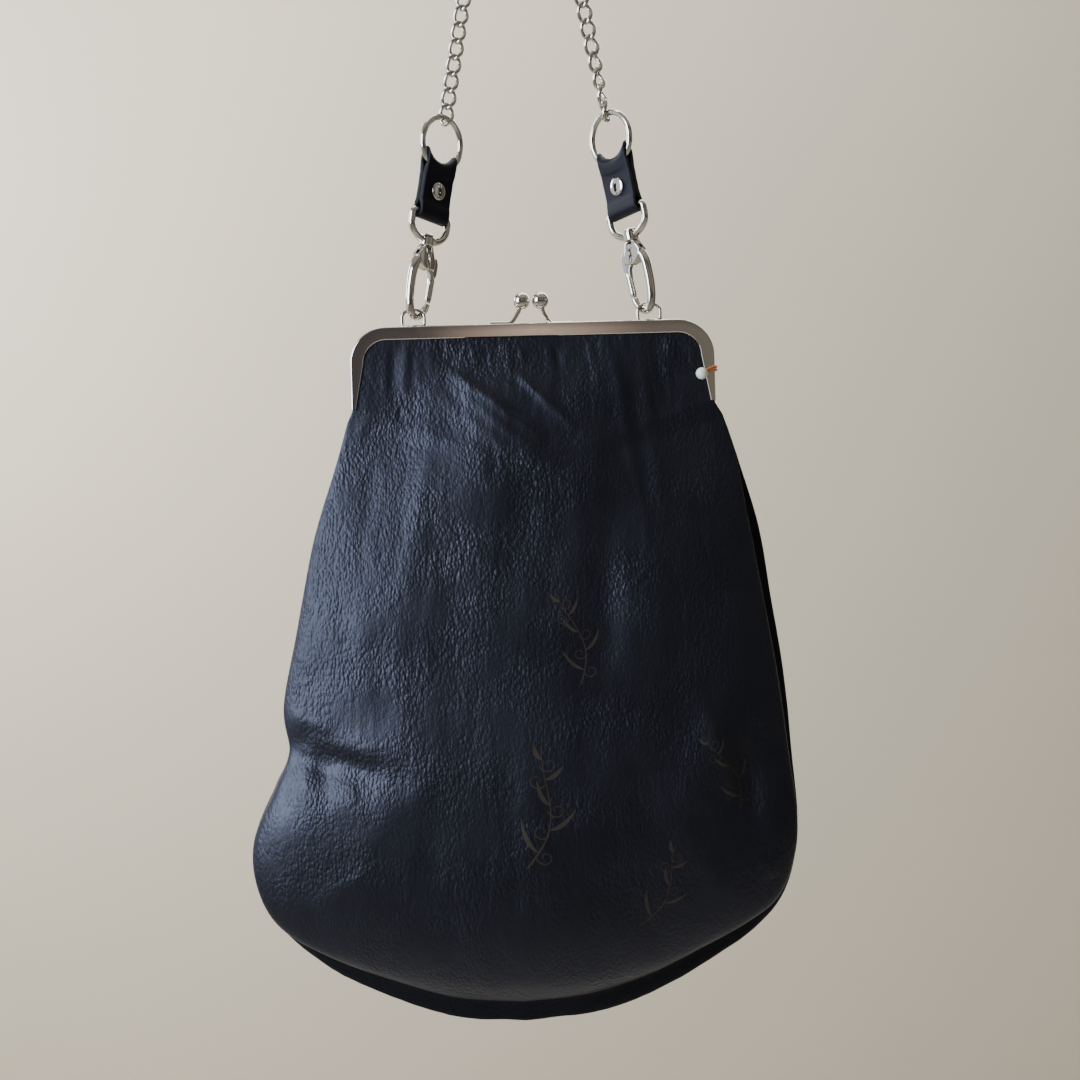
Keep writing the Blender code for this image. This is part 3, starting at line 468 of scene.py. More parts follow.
@dataclass(frozen=True)
class LeatherFinish:
    """Soft tumbled leather with pebble grain, pull lines and worn-in sheen."""

    name: str
    deep: Colour
    worn: Colour
    roughness: tuple[float, float]
    grain_scale: float
    grain_depth: float
    crease_scale: float
    pull_depth: float
    gloss: float
    patch_scale: float = 16.0
    drift_scale: float = 90.0
    drift: float = 0.003
    pebble_length: float = 0.55
    pebble_weight: float = -1.6
    ripple_length: float = 0.3
    ripple_share: float = 0.55
    crease_width: float = 0.09
    crease_weight: float = 0.28
    spot_scale: float = 34.0
    spot_range: tuple[float, float, float, float] = (0.38, 0.60, 0.22, 1.0)
    pull_length: float = 0.16
    pull_scale: float = 150.0
    tint: Colour = (0.71, 0.74, 1.0)
    sheen: float = 0.015
    sheen_tint: Colour = (0.55, 0.66, 1.0)

    def make(self) -> Material:
        """Build the material.

        Returns:
            The leather material.
        """
        draft = Draft(self.name, self.deep)
        graph, place = draft.graph, draft.place
        patches = graph.noise(place, self.patch_scale, 4.0, 0.55).outputs["Fac"]
        drift = graph.noise(place, self.drift_scale, 2.0).outputs["Color"]
        moved = graph.vectors("ADD", place, graph.vectors("MULTIPLY", drift, (self.drift,) * 3))
        pebble = graph.cells(graph.stretched(moved, (1.0, 1.0, self.pebble_length)), self.grain_scale, "F1")
        ripple = graph.noise(graph.stretched(moved, (1.0, 1.0, self.ripple_length)),
                             self.grain_scale * self.ripple_share, 3.0).outputs["Fac"]
        creases = graph.cells(moved, self.crease_scale, "DISTANCE_TO_EDGE")
        furrow = graph.spread(creases, 0.0, self.crease_width)
        spots = graph.noise(place, self.spot_scale, 2.0).outputs["Fac"]
        grain = graph.math("MULTIPLY_ADD", pebble, self.pebble_weight, ripple)
        masked = graph.math("MULTIPLY", grain, graph.spread(spots, *self.spot_range))
        cracked = graph.math("MULTIPLY", patches, furrow)
        height = graph.math("MULTIPLY_ADD", cracked, self.crease_weight, masked)
        pulls = graph.noise(graph.stretched(place, (1.0, 1.0, self.pull_length)), self.pull_scale, 3.0,
                            distortion=0.6).outputs["Fac"]
        return draft.finish({
            "Base Color": graph.blend(patches, self.deep, self.worn),
            "Roughness": graph.spread(patches, 0.3, 0.7, *self.roughness),
            "Normal": graph.bump(height, self.grain_depth, graph.bump(pulls, self.pull_depth)),
            "IOR": 1.5, "Specular IOR Level": self.gloss, "Specular Tint": (*self.tint, 1.0),
            "Sheen Weight": self.sheen, "Sheen Roughness": 0.4, "Sheen Tint": (*self.sheen_tint, 1.0)})


@dataclass(frozen=True)
class NickelFinish:
    """Polished nickel plate with a faint haze and hairline rubbing."""

    name: str
    colour: Colour
    roughness: tuple[float, float]
    rub_depth: float
    haze_scale: float = 220.0
    rub_scale: float = 700.0
    rub_length: float = 0.25
    tint: Colour = (0.62, 0.60, 0.56)

    def make(self) -> Material:
        """Build the material.

        Returns:
            The metal material.
        """
        draft = Draft(self.name, self.colour)
        graph, place = draft.graph, draft.place
        haze = graph.noise(place, self.haze_scale, 4.0, 0.6).outputs["Fac"]
        rubbed = graph.noise(graph.stretched(place, (self.rub_length, 1.0, 1.0)), self.rub_scale, 2.0)
        return draft.finish({
            "Roughness": graph.spread(haze, 0.3, 0.75, *self.roughness),
            "Normal": graph.bump(rubbed.outputs["Fac"], self.rub_depth),
            "Base Color": (*self.colour, 1.0), "Metallic": 1.0, "Specular Tint": (*self.tint, 1.0)})


@dataclass(frozen=True)
class PlainFinish:
    """Even finish whose colour wanders a little."""

    name: str
    colour: Colour
    spread: float
    roughness: float
    scale: float
    depth: float
    coat: float = 0.0

    def make(self) -> Material:
        """Build the material.

        Returns:
            The material.
        """
        draft = Draft(self.name, self.colour)
        wander = draft.graph.noise(draft.place, self.scale, 4.0, 0.6).outputs["Fac"]
        low = tuple(channel * (1 - self.spread) for channel in self.colour)
        high = tuple(min(channel * (1 + self.spread), 1.0) for channel in self.colour)
        return draft.finish({
            "Base Color": draft.graph.blend(wander, low, high), "Normal": draft.graph.bump(wander, self.depth),
            "Roughness": self.roughness, "Coat Weight": self.coat})


@dataclass(frozen=True)
class ThreadFinish:
    """Twisted thread: fine slanting plies across a bright colour, with painted shade in the grooves between
    them.
    """

    name: str
    colour: Colour
    shade: Colour
    ply_scale: float
    ply_depth: float = 0.1 * MM

    def make(self) -> Material:
        """Build the material.

        Returns:
            The thread material.
        """
        draft = Draft(self.name, self.colour)
        plies = draft.graph.add("ShaderNodeTexWave", {
            "Vector": draft.place, "Scale": self.ply_scale, "Distortion": 1.5, "Detail": 1.0},
            wave_type="BANDS", bands_direction="DIAGONAL").outputs["Fac"]
        # The grooves between plies, low in the same pattern as the bump, get the darker colour: painted shade.
        return draft.finish({
            "Base Color": draft.graph.blend(plies, self.shade, self.colour),
            "Normal": draft.graph.bump(plies, self.ply_depth), "Roughness": 0.7, "Sheen Weight": 0.3})


@dataclass
class Palette:
    """Every finish of the bag, built once."""

    wall: Material
    wall_back: Material
    tab: Material
    tab_edge: Material
    nickel: Material
    bead: Material
    thread: Material
    sprig: Material

    @classmethod
    def build(cls) -> "Palette":
        """Build all finishes.

        Returns:
            The palette.
        """
        return cls(
            wall=LeatherFinish("wall_leather", (0.0018, 0.0021, 0.0032), (0.0042, 0.0048, 0.0074),
                               (0.37, 0.50), 640.0, 0.22 * MM, 230.0, 0.24 * MM, 0.6).make(),
            wall_back=LeatherFinish("back_wall_leather", (0.0018, 0.0021, 0.0030), (0.0042, 0.0048, 0.0070),
                                    (0.48, 0.60), 640.0, 0.20 * MM, 230.0, 0.20 * MM, 0.2).make(),
            tab=LeatherFinish("tab_leather", (0.0035, 0.0041, 0.0066), (0.0070, 0.0080, 0.0122),
                              (0.42, 0.52), 1300.0, 0.04 * MM, 420.0, 0.05 * MM, 0.25).make(),
            # Cut edge of the tabs: the leather's own edge tone, lightened to a bluish painted highlight.
            tab_edge=PlainFinish("cut_leather_edge", (0.012, 0.014, 0.022), 0.5, 0.85, 1800.0, 0.5 * MM).make(),
            nickel=NickelFinish("polished_nickel_plate", (0.68, 0.655, 0.61), (0.03, 0.09), 0.003 * MM).make(),
            bead=PlainFinish("glossy_white_bead", (0.93, 0.92, 0.89), 0.05, 0.18, 500.0, 0.01 * MM, 0.5).make(),
            # Orange thread; its second colour is painted shade for the grooves between the plies.
            thread=ThreadFinish("orange_twisted_thread", (1.0, 0.33, 0.07), (0.95, 0.21, 0.035), 900.0).make(),
            sprig=PlainFinish("faded_sprig_ink", (0.030, 0.022, 0.017), 0.25, 0.55, 700.0, 0.05 * MM).make(),
        )


def show(mesh: Mesh, name: str, material: Material, body: str, slot: Slot,
         replaced: Sequence[str] = (), angle: float = 45.0) -> Object:
    """Put a finished mesh in the scene and say what it is.

    Args:
        mesh: Finished mesh, in the bag's own frame.
        name: Name of the piece.
        material: Material that fills empty slots.
        body: Body that it moves with.
        slot: Material slot of the record; not used.
        replaced: Solids that it stands for.
        angle: Edges sharper than this stay crisp.

    Returns:
        The new object.
    """
    if not mesh.materials or mesh.materials[0] is None:
        mesh.materials.clear()
        mesh.materials.append(material)
    mesh.name = name
    mesh.shade_smooth()
    mesh.set_sharp_from_angle(angle=math.radians(angle))
    piece = added(name, mesh)
    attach(piece, body)
    if replaced:
        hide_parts(*replaced)
    LOG.info("%s: %d triangles on %s", name, sum(len(face.vertices) - 2 for face in mesh.polygons), body)
    return piece


def mesh_of(shape: BMesh, name: str, weld: float = WELD) -> Mesh:
    """Turn a bmesh into mesh data, welded and with its faces outwards.

    Args:
        shape: The shape, which is used up.
        name: Name of the mesh.
        weld: Points closer than this become one.

    Returns:
        The mesh.
    """
    bmesh.ops.remove_doubles(shape, verts=shape.verts, dist=weld)
    bmesh.ops.recalc_face_normals(shape, faces=shape.faces)
    mesh = bpy.data.meshes.new(name)
    shape.to_mesh(mesh)
    shape.free()
    return mesh


def joined(name: str, meshes: Iterable[Mesh]) -> Mesh:
    """Several meshes side by side in one, with the first one's material.

    Args:
        name: Name of the result.
        meshes: The meshes.

    Returns:
        One mesh.
    """
    shape = bmesh.new()
    material = None
    for mesh in meshes:
        shape.from_mesh(mesh)
        if material is None and mesh.materials:
            material = mesh.materials[0]
    made = bpy.data.meshes.new(name)
    shape.to_mesh(made)
    shape.free()
    if material is not None:
        made.materials.append(material)
    return made


class SeamRow(NamedTuple):
    """A point of a side seam, as shares of half the bag's width and of its drop."""

    across: float
    down: float
    overhang: float


class Dent(NamedTuple):
    """A broad dent (positive depth) or swell, in shares of half width, drop and bulge."""

    across: float
    down: float
    half_length: float
    half_width: float
    turn: float
    depth: float


class Fold(NamedTuple):
    """A crease line in millimetres from the frame's top middle: ridge if its height is positive."""

    start_x: float
    start_z: float
    end_x: float
    end_z: float
    width: float
    height: float


class Wave(NamedTuple):
    """Soft waves of the leather, in millimetres: all over it, or fading below the frame."""

    height: float
    across: float
    down: float
    shift: float
    fade_end: float = 0.0
    fade_length: float = 0.0


class Edge(NamedTuple):
    """A point of a wall's edge on one half of the outline."""

    place: Vector
    inward: Vector
    band: float
    sewn: float
    overhang: float


LEFT_SEAM = tuple(SeamRow(*row) for row in (
    (0.691, 0.136, 0.02), (0.738, 0.200, 0.02), (0.812, 0.307, 0.02), (0.879, 0.437, 0.02),
    (0.930, 0.540, 0.02), (0.915, 0.606, 0.04), (0.975, 0.663, 0.12), (1.052, 0.736, 0.12),
    (1.038, 0.801, 0.12), (0.960, 0.853, 0.25), (0.778, 0.901, 0.63), (0.560, 0.936, 0.87),
    (0.336, 0.962, 0.98), (0.094, 0.970, 1.00),
))
RIGHT_SEAM = tuple(SeamRow(*row) for row in (
    (0.698, 0.136, 0.10), (0.738, 0.187, 0.24), (0.780, 0.286, 0.40), (0.8255, 0.403, 0.36),
    (0.869, 0.520, 0.32), (0.893, 0.624, 0.24), (0.913, 0.715, 0.16), (0.899, 0.772, 0.20),
    (0.846, 0.824, 0.32), (0.742, 0.860, 0.55), (0.575, 0.897, 0.71), (0.380, 0.934, 0.87),
    (0.148, 0.961, 0.98), (-0.094, 0.970, 1.00),
))
FULLNESS = (
    (0.00, 0.16), (0.04, 0.20), (0.12, 0.36), (0.25, 0.56),
    (0.45, 0.80), (0.65, 1.00), (0.85, 1.00), (1.00, 0.88),
)
FRONT_DENTS = (
    Dent(-0.80, 0.612, 0.26, 0.080, math.radians(-14), 0.26),
    Dent(0.75, 0.655, 0.20, 0.110, math.radians(75), 0.20),
    Dent(0.25, 0.398, 0.50, 0.120, math.radians(82), 0.10),
    Dent(0.60, 0.620, 0.28, 0.100, math.radians(65), -0.09),
    Dent(-0.13, 0.150, 0.24, 0.060, math.radians(-38), -0.09),
)
BACK_DENTS = (
    Dent(-0.80, 0.610, 0.24, 0.080, math.radians(-10), 0.22),
    Dent(0.10, 0.450, 0.60, 0.160, math.radians(85), 0.10),
)
FRONT_FOLDS = tuple(Fold(*row) for row in (
    (-46, -25, 7, -65, 3.0, 1.35), (-11, -26, 24, -60, 2.6, 0.95), (-52, -33, -4, -72, 4, -0.8),
    (-76, -9, -78, -42, 1.8, -0.43), (-70, -9, -71, -40, 1.7, 0.37), (-65, -9, -66, -38, 1.8, -0.43),
    (-88, -14, -96, -60, 2.4, 0.37), (-34, -9, -30, -24, 1.8, 0.31), (-8, -8, -5, -22, 1.6, 0.31),
    (12, -8, 15, -28, 1.8, -0.31), (30, -9, 37, -40, 1.8, 0.37), (43, -12, 55, -92, 2.8, 0.56),
    (50, -14, 64, -118, 3, -0.43), (58, -12, 70, -100, 2.4, 0.43), (66, -10, 74, -52, 1.8, -0.37),
    (74, -9, 80, -30, 1.5, 0.37), (80, -9, 86, -27, 1.4, -0.37), (87, -11, 92, -26, 1.4, 0.31),
    (38, -98, 34, -210, 8, -0.6), (46, -104, 43, -200, 5, 0.35), (20, -80, 26, -150, 5, 0.35),
    (-20, -80, -26, -170, 7, 0.5), (-60, -70, -72, -150, 6, 0.6), (-86, -70, -100, -140, 5, -0.5),
    (-136, -210, -112, -219, 2.6, 0.77), (-130, -223, -84, -233, 7, 1.4), (-138, -226, -112, -236, 2.4, 0.63),
    (-121, -229, -116, -262, 4, -0.8), (-112, -232, -96, -268, 4, 0.3), (-130, -236, -128, -262, 3.2, 0.35),
    (88, -208, 103, -266, 4.5, 1.3), (108, -226, 114, -274, 4.2, -1.2), (112, -212, 130, -232, 3, 0.8),
    (119, -292, 121, -306, 5, 0.9), (70, -270, 100, -318, 7, 0.7), (-92, -292, -130, -318, 6, 0.6),
    (-60, -236, -100, -288, 9, 0.6), (-10, -230, 6, -330, 10, 0.6), (50, -230, 62, -300, 8, -0.6),
))
BACK_FOLDS = tuple(Fold(*row) for row in (
    (44, -26, -6, -60, 3.2, 1.3), (70, -10, 72, -44, 1.8, -0.37), (64, -10, 66, -40, 1.8, 0.37),
    (-40, -12, -54, -92, 2.8, 0.5), (-52, -14, -66, -110, 3, -0.43), (-20, -10, -26, -60, 2.4, 0.43),
    (16, -9, 12, -50, 2.2, -0.37), (84, -12, 94, -56, 2.2, 0.37), (-76, -10, -84, -40, 1.8, 0.37),
    (20, -90, 26, -200, 8, -1), (-30, -90, -24, -210, 8, 0.9), (-70, -120, -84, -220, 8, 0.7),
    (74, -110, 88, -200, 7, 0.7), (-134, -212, -108, -222, 2.8, 0.7), (-132, -222, -108, -234, 2.6, -0.63),
    (96, -208, 106, -262, 4.5, 1.1), (0, -220, -14, -320, 10, 0.6), (-70, -240, -104, -300, 8, -0.6),
))
WAVES = (
    Wave(0.26, 0.17, 0.02, 0, 62, 50), Wave(0.25, 0.42, 0.05, 3, 30, 20),
    Wave(0.8, 0.020, 0.012, 5), Wave(0.45, 0.075, 0.028, 9), Wave(0.16, 0.24, 0.10, 13),
)


@dataclass
class WallShape:
    """One soft leather wall of the bag, sewn at the sides and held by the frame at the top."""

    half: Half
    bulge: float
    roll: float
    overhang: float
    dents: tuple[Dent, ...]
    folds: tuple[Fold, ...]
    seed: int
    width: float = 0.298
    drop: float = 0.3845
    arm_drop: float = 0.045
    corner_radius: float = 0.020
    band_height: float = 0.0073
    band_end_height: float = 0.0026
    back_overhang: float = 0.0127
    spine_top: float = 0.09
    spine_bottom: float = 0.71
    spine_shift: float = -0.075
    spine_even: float = 0.3
    roll_peak: float = 0.045
    loose_from: float = 0.6
    loose_length: float = 2.2
    held_reach: float = 0.8
    edge_fullness: float = 2.6
    edge_crowding: float = 1.9
    top_cells: int = 44
    corner_cells: int = 14
    arm_cells: int = 16
    seam_cells: int = 128
    depth_cells: int = 62
    lining_cells: int = 62
    seam_steps: int = 600
    seed_step: float = 7.3
    fold_wander: float = 1.2
    fold_wander_scale: float = 0.06
    fold_fade: float = 0.12
    fold_fade_least: float = 2.0
    fold_tip: float = 0.25
    fold_tip_rise: float = 3.0
    sewn_margin: float = 0.0010
    relief_rise: float = 0.009

    @property
    def frame_cells(self) -> int:
        """Cells of a half outline that the frame holds."""
        return self.top_cells + self.corner_cells + self.arm_cells

    def frame_station(self, index: int) -> tuple[Vector, Vector, float]:
        """Frame path on the left half, from the middle of the top bar to the end of the arm.

        Args:
            index: Cell along the frame.

        Returns:
            Place on the outer edge, inward direction and band height.
        """
        half = FRAME_WIDTH / 2
        straight = half - self.corner_radius
        if index <= self.top_cells:
            return Vector((-straight * index / self.top_cells, 0)), Vector((0, -1)), self.band_height
        if index <= self.top_cells + self.corner_cells:
            angle = math.pi / 2 * (index - self.top_cells) / self.corner_cells
            outward = Vector((-math.sin(angle), math.cos(angle)))
            centre = Vector((-straight, -self.corner_radius))
            return centre + outward * self.corner_radius, -outward, self.band_height
        share = (index - self.top_cells - self.corner_cells) / self.arm_cells
        drop = mix(self.corner_radius, self.arm_drop, share)
        return Vector((-half, -drop)), Vector((1, 0)), mix(self.band_height, self.band_end_height, share)

    def seam_points(self, rows: Sequence[SeamRow], side: int) -> list[tuple[Vector, float]]:
        """Even points along one side seam.

        Args:
            rows: Rows of the seam.
            side: -1 for the left seam, 1 for the right.

        Returns:
            Place and overhang at each point.
        """
        fine = self.seam_steps
        line = []
        for step in range(fine + 1):
            across, down, overhang = row_curve(rows, step / fine)
            line.append((Vector((side * across * self.width / 2, -down * self.drop)), overhang))
        lengths = [0.0]
        for (start, _), (end, _) in zip(line, line[1:]):
            lengths.append(lengths[-1] + (end - start).length)
        points = []
        at = 0
        for cell in range(self.seam_cells):
            wanted = lengths[-1] * cell / (self.seam_cells - 1)
            while at < fine - 1 and lengths[at + 1] < wanted:
                at += 1
            share = (wanted - lengths[at]) / max(lengths[at + 1] - lengths[at], 1e-9)
            points.append((line[at][0].lerp(line[at + 1][0], share), mix(line[at][1], line[at + 1][1], share)))
        return points

    def outline(self, rows: Sequence[SeamRow], side: int) -> list[Edge]:
        """The wall's edge on one side, from the middle of the top to the middle of the bottom.

        Args:
            rows: Rows of the seam.
            side: -1 for the left half, 1 for the right.

        Returns:
            The edge points.
        """
        edges = []
        for index in range(self.frame_cells + 1):
            outer, inward, band = self.frame_station(index)
            place = outer + inward * (METAL + GAP)
            edges.append(Edge(Vector((-side * place.x, place.y)), Vector((-side * inward.x, inward.y)), band,
                              0.0, 0.0))
        points = self.seam_points(rows, side)
        for index, (place, overhang) in enumerate(points):
            before = points[index - 1][0] if index else edges[-1].place
            after = points[min(index + 1, len(points) - 1)][0]
            along = (after - before).normalized()
            inward = Vector((-along.y, along.x)) if side < 0 else Vector((along.y, -along.x))
            edges.append(Edge(place, inward, self.band_end_height, 1.0, overhang * self.back_overhang))
        return edges

    def spine(self, share: float, down: float) -> Vector:
        """The line in the middle of the wall that both halves run to."""
        drop = mix(self.spine_top, self.spine_bottom, mix(down, share, self.spine_even))
        return Vector((self.spine_shift * self.width / 2 * drop, -drop * self.drop))

    def point(self, edge: Edge, centre: Vector, step: float, inner: bool) -> Vector:
        """A point of the wall, at a step from its edge to the middle line.

        Args:
            edge: Where the row starts.
            centre: Where the row ends.
            step: Place along the row, from 0 to 1.
            inner: Whether it is on the flesh side.

        Returns:
            The place.
        """
        lining = LEATHER if inner else 0.0
        start = edge.place + edge.inward * lining * edge.sewn
        reach = (centre - start).length
        loose = smooth((-edge.place.y / self.arm_drop - self.loose_from) / self.loose_length)
        share = step ** mix(1.0, self.edge_crowding, loose)
        peak = share / self.roll_peak * math.exp(1 - share / self.roll_peak)
        roll = loose * peak * (self.roll + self.overhang * edge.overhang + self.roll_peak * reach)
        place = start.lerp(centre, share) - edge.inward * roll
        fullness = table_value(FULLNESS, -place.y / self.drop)
        depth = self.bulge * (fullness - self.dent_depth(place)) - lining
        base = mix(LEATHER_OUTER - lining, GAP / 2, edge.sewn)
        held = smooth((share * reach - edge.band) / (reach * self.held_reach))
        free = math.sqrt(max(1 - (1 - share) ** self.edge_fullness, 0.0))
        y = mix(base, max(depth, base), mix(held, free, loose))
        return Vector((place.x, SPLIT_Y + self.half.value * y, FRAME_TOP + place.y))

    def dent_depth(self, place: Vector) -> float:
        """Sum of the broad dents at a place.

        Args:
            place: Place across and down the wall.

        Returns:
            Depth as a share of the bulge.
        """
        total = 0.0
        reach = self.width / 2
        for dent in self.dents:
            away_x = place.x - dent.across * reach
            away_y = place.y + dent.down * self.drop
            cosine, sine = math.cos(dent.turn), math.sin(dent.turn)
            along = (away_x * cosine + away_y * sine) / (dent.half_length * reach)
            over = (away_y * cosine - away_x * sine) / (dent.half_width * reach)
            total += dent.depth * math.exp(-along * along - over * over)
        return total

    def relief(self, place: Vector) -> float:
        """Height of folds, gathers and soft waves at a place of the wall.

        Args:
            place: Place in the bag's frame.

        Returns:
            Height along the wall's outward normal, in metres.
        """
        x = place.x / MM
        z = (place.z - FRAME_TOP) / MM
        total = 0.0
        for fold in self.folds:
            run_x, run_z = fold.end_x - fold.start_x, fold.end_z - fold.start_z
            length = math.hypot(run_x, run_z)
            along = ((x - fold.start_x) * run_x + (z - fold.start_z) * run_z) / length
            over = ((x - fold.start_x) * run_z - (z - fold.start_z) * run_x) / length
            wander = noise.noise(Vector((along * self.fold_wander_scale, fold.start_x, fold.start_z)))
            over += self.fold_wander * wander
            past = max(-along, along - length, 0.0)
            fade = math.exp(-(past / (length * self.fold_fade + self.fold_fade_least)) ** 2)
            inside = min(max(along, 0.0), max(length - along, 0.0))
            ends = smooth(self.fold_tip + self.fold_tip_rise * inside / length)
            total += fold.height * fade * ends * math.exp(-(over / fold.width) ** 2)
        seed = self.seed * self.seed_step
        for wave in WAVES:
            fade = smooth((z + wave.fade_end) / wave.fade_length) if wave.fade_length else 1.0
            spot = Vector((x * wave.across, z * wave.down, seed + wave.shift))
            total += fade * wave.height * noise.noise(spot)
        return total * MM

    def mesh(self, material: Material) -> Mesh:
        """Build the wall: outer skin, flesh side and the turned edge between them.

        Args:
            material: The wall's leather.

        Returns:
            The wall's mesh.
        """
        left, right = self.outline(LEFT_SEAM, -1), self.outline(RIGHT_SEAM, 1)
        rows_count = self.frame_cells + self.seam_cells
        shape = bmesh.new()
        lift = shape.verts.layers.float.new("lift")
        rims = []
        for inner in (False, True):
            cells = self.lining_cells if inner else self.depth_cells
            spine = [self.spine(index / rows_count, -(one.place.y + other.place.y) / 2 / self.drop)
                     for index, (one, other) in enumerate(zip(left, right))]
            centres = [shape.verts.new(self.point(edge, centre, 1.0, inner))
                       for edge, centre in zip(left, spine)]
            halves = []
            for edges in (left, right):
                rows = []
                for edge, centre, end in zip(edges, spine, centres):
                    row = [shape.verts.new(self.point(edge, centre, step / cells, inner))
                           for step in range(cells)]
                    rows.append(row + [end])
                    free = edge.band if edge.sewn == 0.0 else 0.0
                    for vertex in rows[-1]:
                        away = (Vector((vertex.co.x, vertex.co.z - FRAME_TOP)) - edge.place).length - free
                        rise = smooth((away - self.sewn_margin) / self.relief_rise)
                        vertex[lift] = rise * (-1 if inner else 1)
                halves.append(rows)
            for end in (0, -1):
                for one, other in zip(halves[0][end][:-1], halves[1][end][:-1]):
                    one.co = other.co = (one.co + other.co) / 2
            for rows in halves:
                for low, high in zip(rows, rows[1:]):
                    for cell in range(cells):
                        shape.faces.new((low[cell], low[cell + 1], high[cell + 1], high[cell]))
            rims.append([[row[0] for row in rows] for rows in halves])
        for outer, lining in zip(*rims):
            for index in range(rows_count):
                shape.faces.new((outer[index], outer[index + 1], lining[index + 1], lining[index]))
        bmesh.ops.remove_doubles(shape, verts=shape.verts, dist=WELD)
        bmesh.ops.recalc_face_normals(shape, faces=shape.faces)
        shape.normal_update()
        for vertex in shape.verts:
            if vertex[lift]:
                vertex.co += vertex.normal * (self.relief(vertex.co) * vertex[lift])
        made = mesh_of(shape, f"{self.half.label}_wall")
        made.materials.append(material)
        return made


@dataclass
class LeatherBody:
    """Both walls of the bag."""

    palette: Palette
    front: WallShape = field(default_factory=lambda: WallShape(
        Half.FRONT, 0.029, 0.0004, -0.58, FRONT_DENTS, FRONT_FOLDS, 3))
    back: WallShape = field(default_factory=lambda: WallShape(
        Half.BACK, 0.023, 0.0, 1.0, BACK_DENTS, BACK_FOLDS, 8))

    def build(self) -> Object:
        """Build both walls.

        Returns:
            The front wall.
        """
        front = show(self.front.mesh(self.palette.wall), "front_wall", self.palette.wall, "bag", Slot.LEATHER,
                     ("front_panel",), 60)
        show(self.back.mesh(self.palette.wall_back), "back_wall", self.palette.wall_back, "bag", Slot.LEATHER,
             ("back_panel",), 60)
        return front


def flat_shape(outlines: Sequence[Sequence[tuple[float, float]]], thickness: float, bevel: float = 0.0,
               rounds: int = 2) -> Mesh:
    """A flat outline with holes, extruded evenly about Z, its edges rounded.

    Args:
        outlines: Outer outline, then holes.
        thickness: Whole thickness.
        bevel: Radius of the rounding.
        rounds: Steps of the rounding.

    Returns:
        The mesh.
    """
    data = bpy.data.curves.new("flat_outline", "CURVE")
    data.dimensions = "2D"
    data.fill_mode = "BOTH"
    data.extrude = thickness / 2 - bevel
    data.bevel_depth = bevel
    data.bevel_resolution = rounds
    data.offset = -bevel
    for outline in outlines:
        spline = data.splines.new("POLY")
        spline.points.add(len(outline) - 1)
        for point, target in zip(outline, spline.points):
            target.co = (point[0], point[1], 0.0, 1.0)
        spline.use_cyclic_u = True
    guide = added("flat_guide", data)
    view = bpy.context.evaluated_depsgraph_get()
    mesh = bpy.data.meshes.new_from_object(guide.evaluated_get(view))
    bpy.data.objects.remove(guide, do_unlink=True)
    shape = bmesh.new()
    shape.from_mesh(mesh)
    return mesh_of(shape, "flat_shape", 2 * FINE_WELD)


def ring_faces(shape: BMesh, low: Sequence[BMVert],
               high: Sequence[BMVert]) -> None:
    """Faces between two closed rings of points.

    Args:
        shape: What gets the faces.
        low: First ring.
        high: Second ring.
    """
    for index, corner in enumerate(low):
        after = (index + 1) % len(low)
        shape.faces.new((corner, low[after], high[after], high[index]))


def turned(profile: Sequence[tuple[float, float]], steps: int = 40) -> Mesh:
    """Turn a profile about Z. A profile that starts and ends on the axis makes a solid piece.

    Args:
        profile: Radius and height of each point.
        steps: Steps round the axis.

    Returns:
        The mesh.
    """
    shape = bmesh.new()
    rings = []
    for radius, height in profile:
        rings.append([shape.verts.new((radius * math.cos(angle), radius * math.sin(angle), height))
                      for angle in angles(2 * math.pi, steps, closed=True)])
    closes = min(profile[0][0], profile[-1][0]) > FINE_WELD / 2
    for low, high in list(zip(rings, rings[1:])) + ([(rings[-1], rings[0])] if closes else []):
        ring_faces(shape, low, high)
    bmesh.ops.remove_doubles(shape, verts=shape.verts, dist=FINE_WELD)
    bmesh.ops.dissolve_degenerate(shape, edges=shape.edges, dist=FINE_WELD / 2)
    return mesh_of(shape, "turned", FINE_WELD)


def rod(radius: float, half: float, steps: int) -> Mesh:
    """A round rod along Z, about the origin."""
    return turned([(0.0, -half), (radius, -half), (radius, half), (0.0, half)], steps)


def washer(bore: float, outer: float, half: float, soft: float, steps: int) -> Mesh:
    """A bored disc about Z, its outer edges cut off a little."""
    return turned([(bore, -half), (bore, half), (outer - soft, half), (outer, half - soft),
                   (outer, soft - half), (outer - soft, -half)], steps)


def ball(radius: float, sides: int = 36, rows: int = 24) -> Mesh:
    """A round ball about the origin.

    Args:
        radius: Its radius.
        sides: Sides round it.
        rows: Rows from pole to pole.

    Returns:
        The mesh.
    """
    shape = bmesh.new()
    bmesh.ops.create_uvsphere(shape, u_segments=sides, v_segments=rows, radius=radius)
    return mesh_of(shape, "ball")


def placed(mesh: Mesh, matrix: Matrix) -> Mesh:
    """The same mesh moved by a matrix."""
    mesh.transform(matrix)
    return mesh


def combined(base: Mesh, tools: Sequence[Mesh], operation: str) -> Mesh:
    """Join or cut solid meshes.

    Args:
        base: First solid.
        tools: Solids that are added or taken away.
        operation: UNION or DIFFERENCE.

    Returns:
        The result.
    """
    body = added("base", base)
    helpers = []
    for tool in tools:
        helper = added("helper", tool)
        step = body.modifiers.new("step", "BOOLEAN")
        step.operation = operation
        step.solver = "EXACT"
        step.object = helper
        helpers.append(helper)
    view = bpy.context.evaluated_depsgraph_get()
    mesh = bpy.data.meshes.new_from_object(body.evaluated_get(view))
    for item in [body, *helpers]:
        bpy.data.objects.remove(item, do_unlink=True)
    return mesh


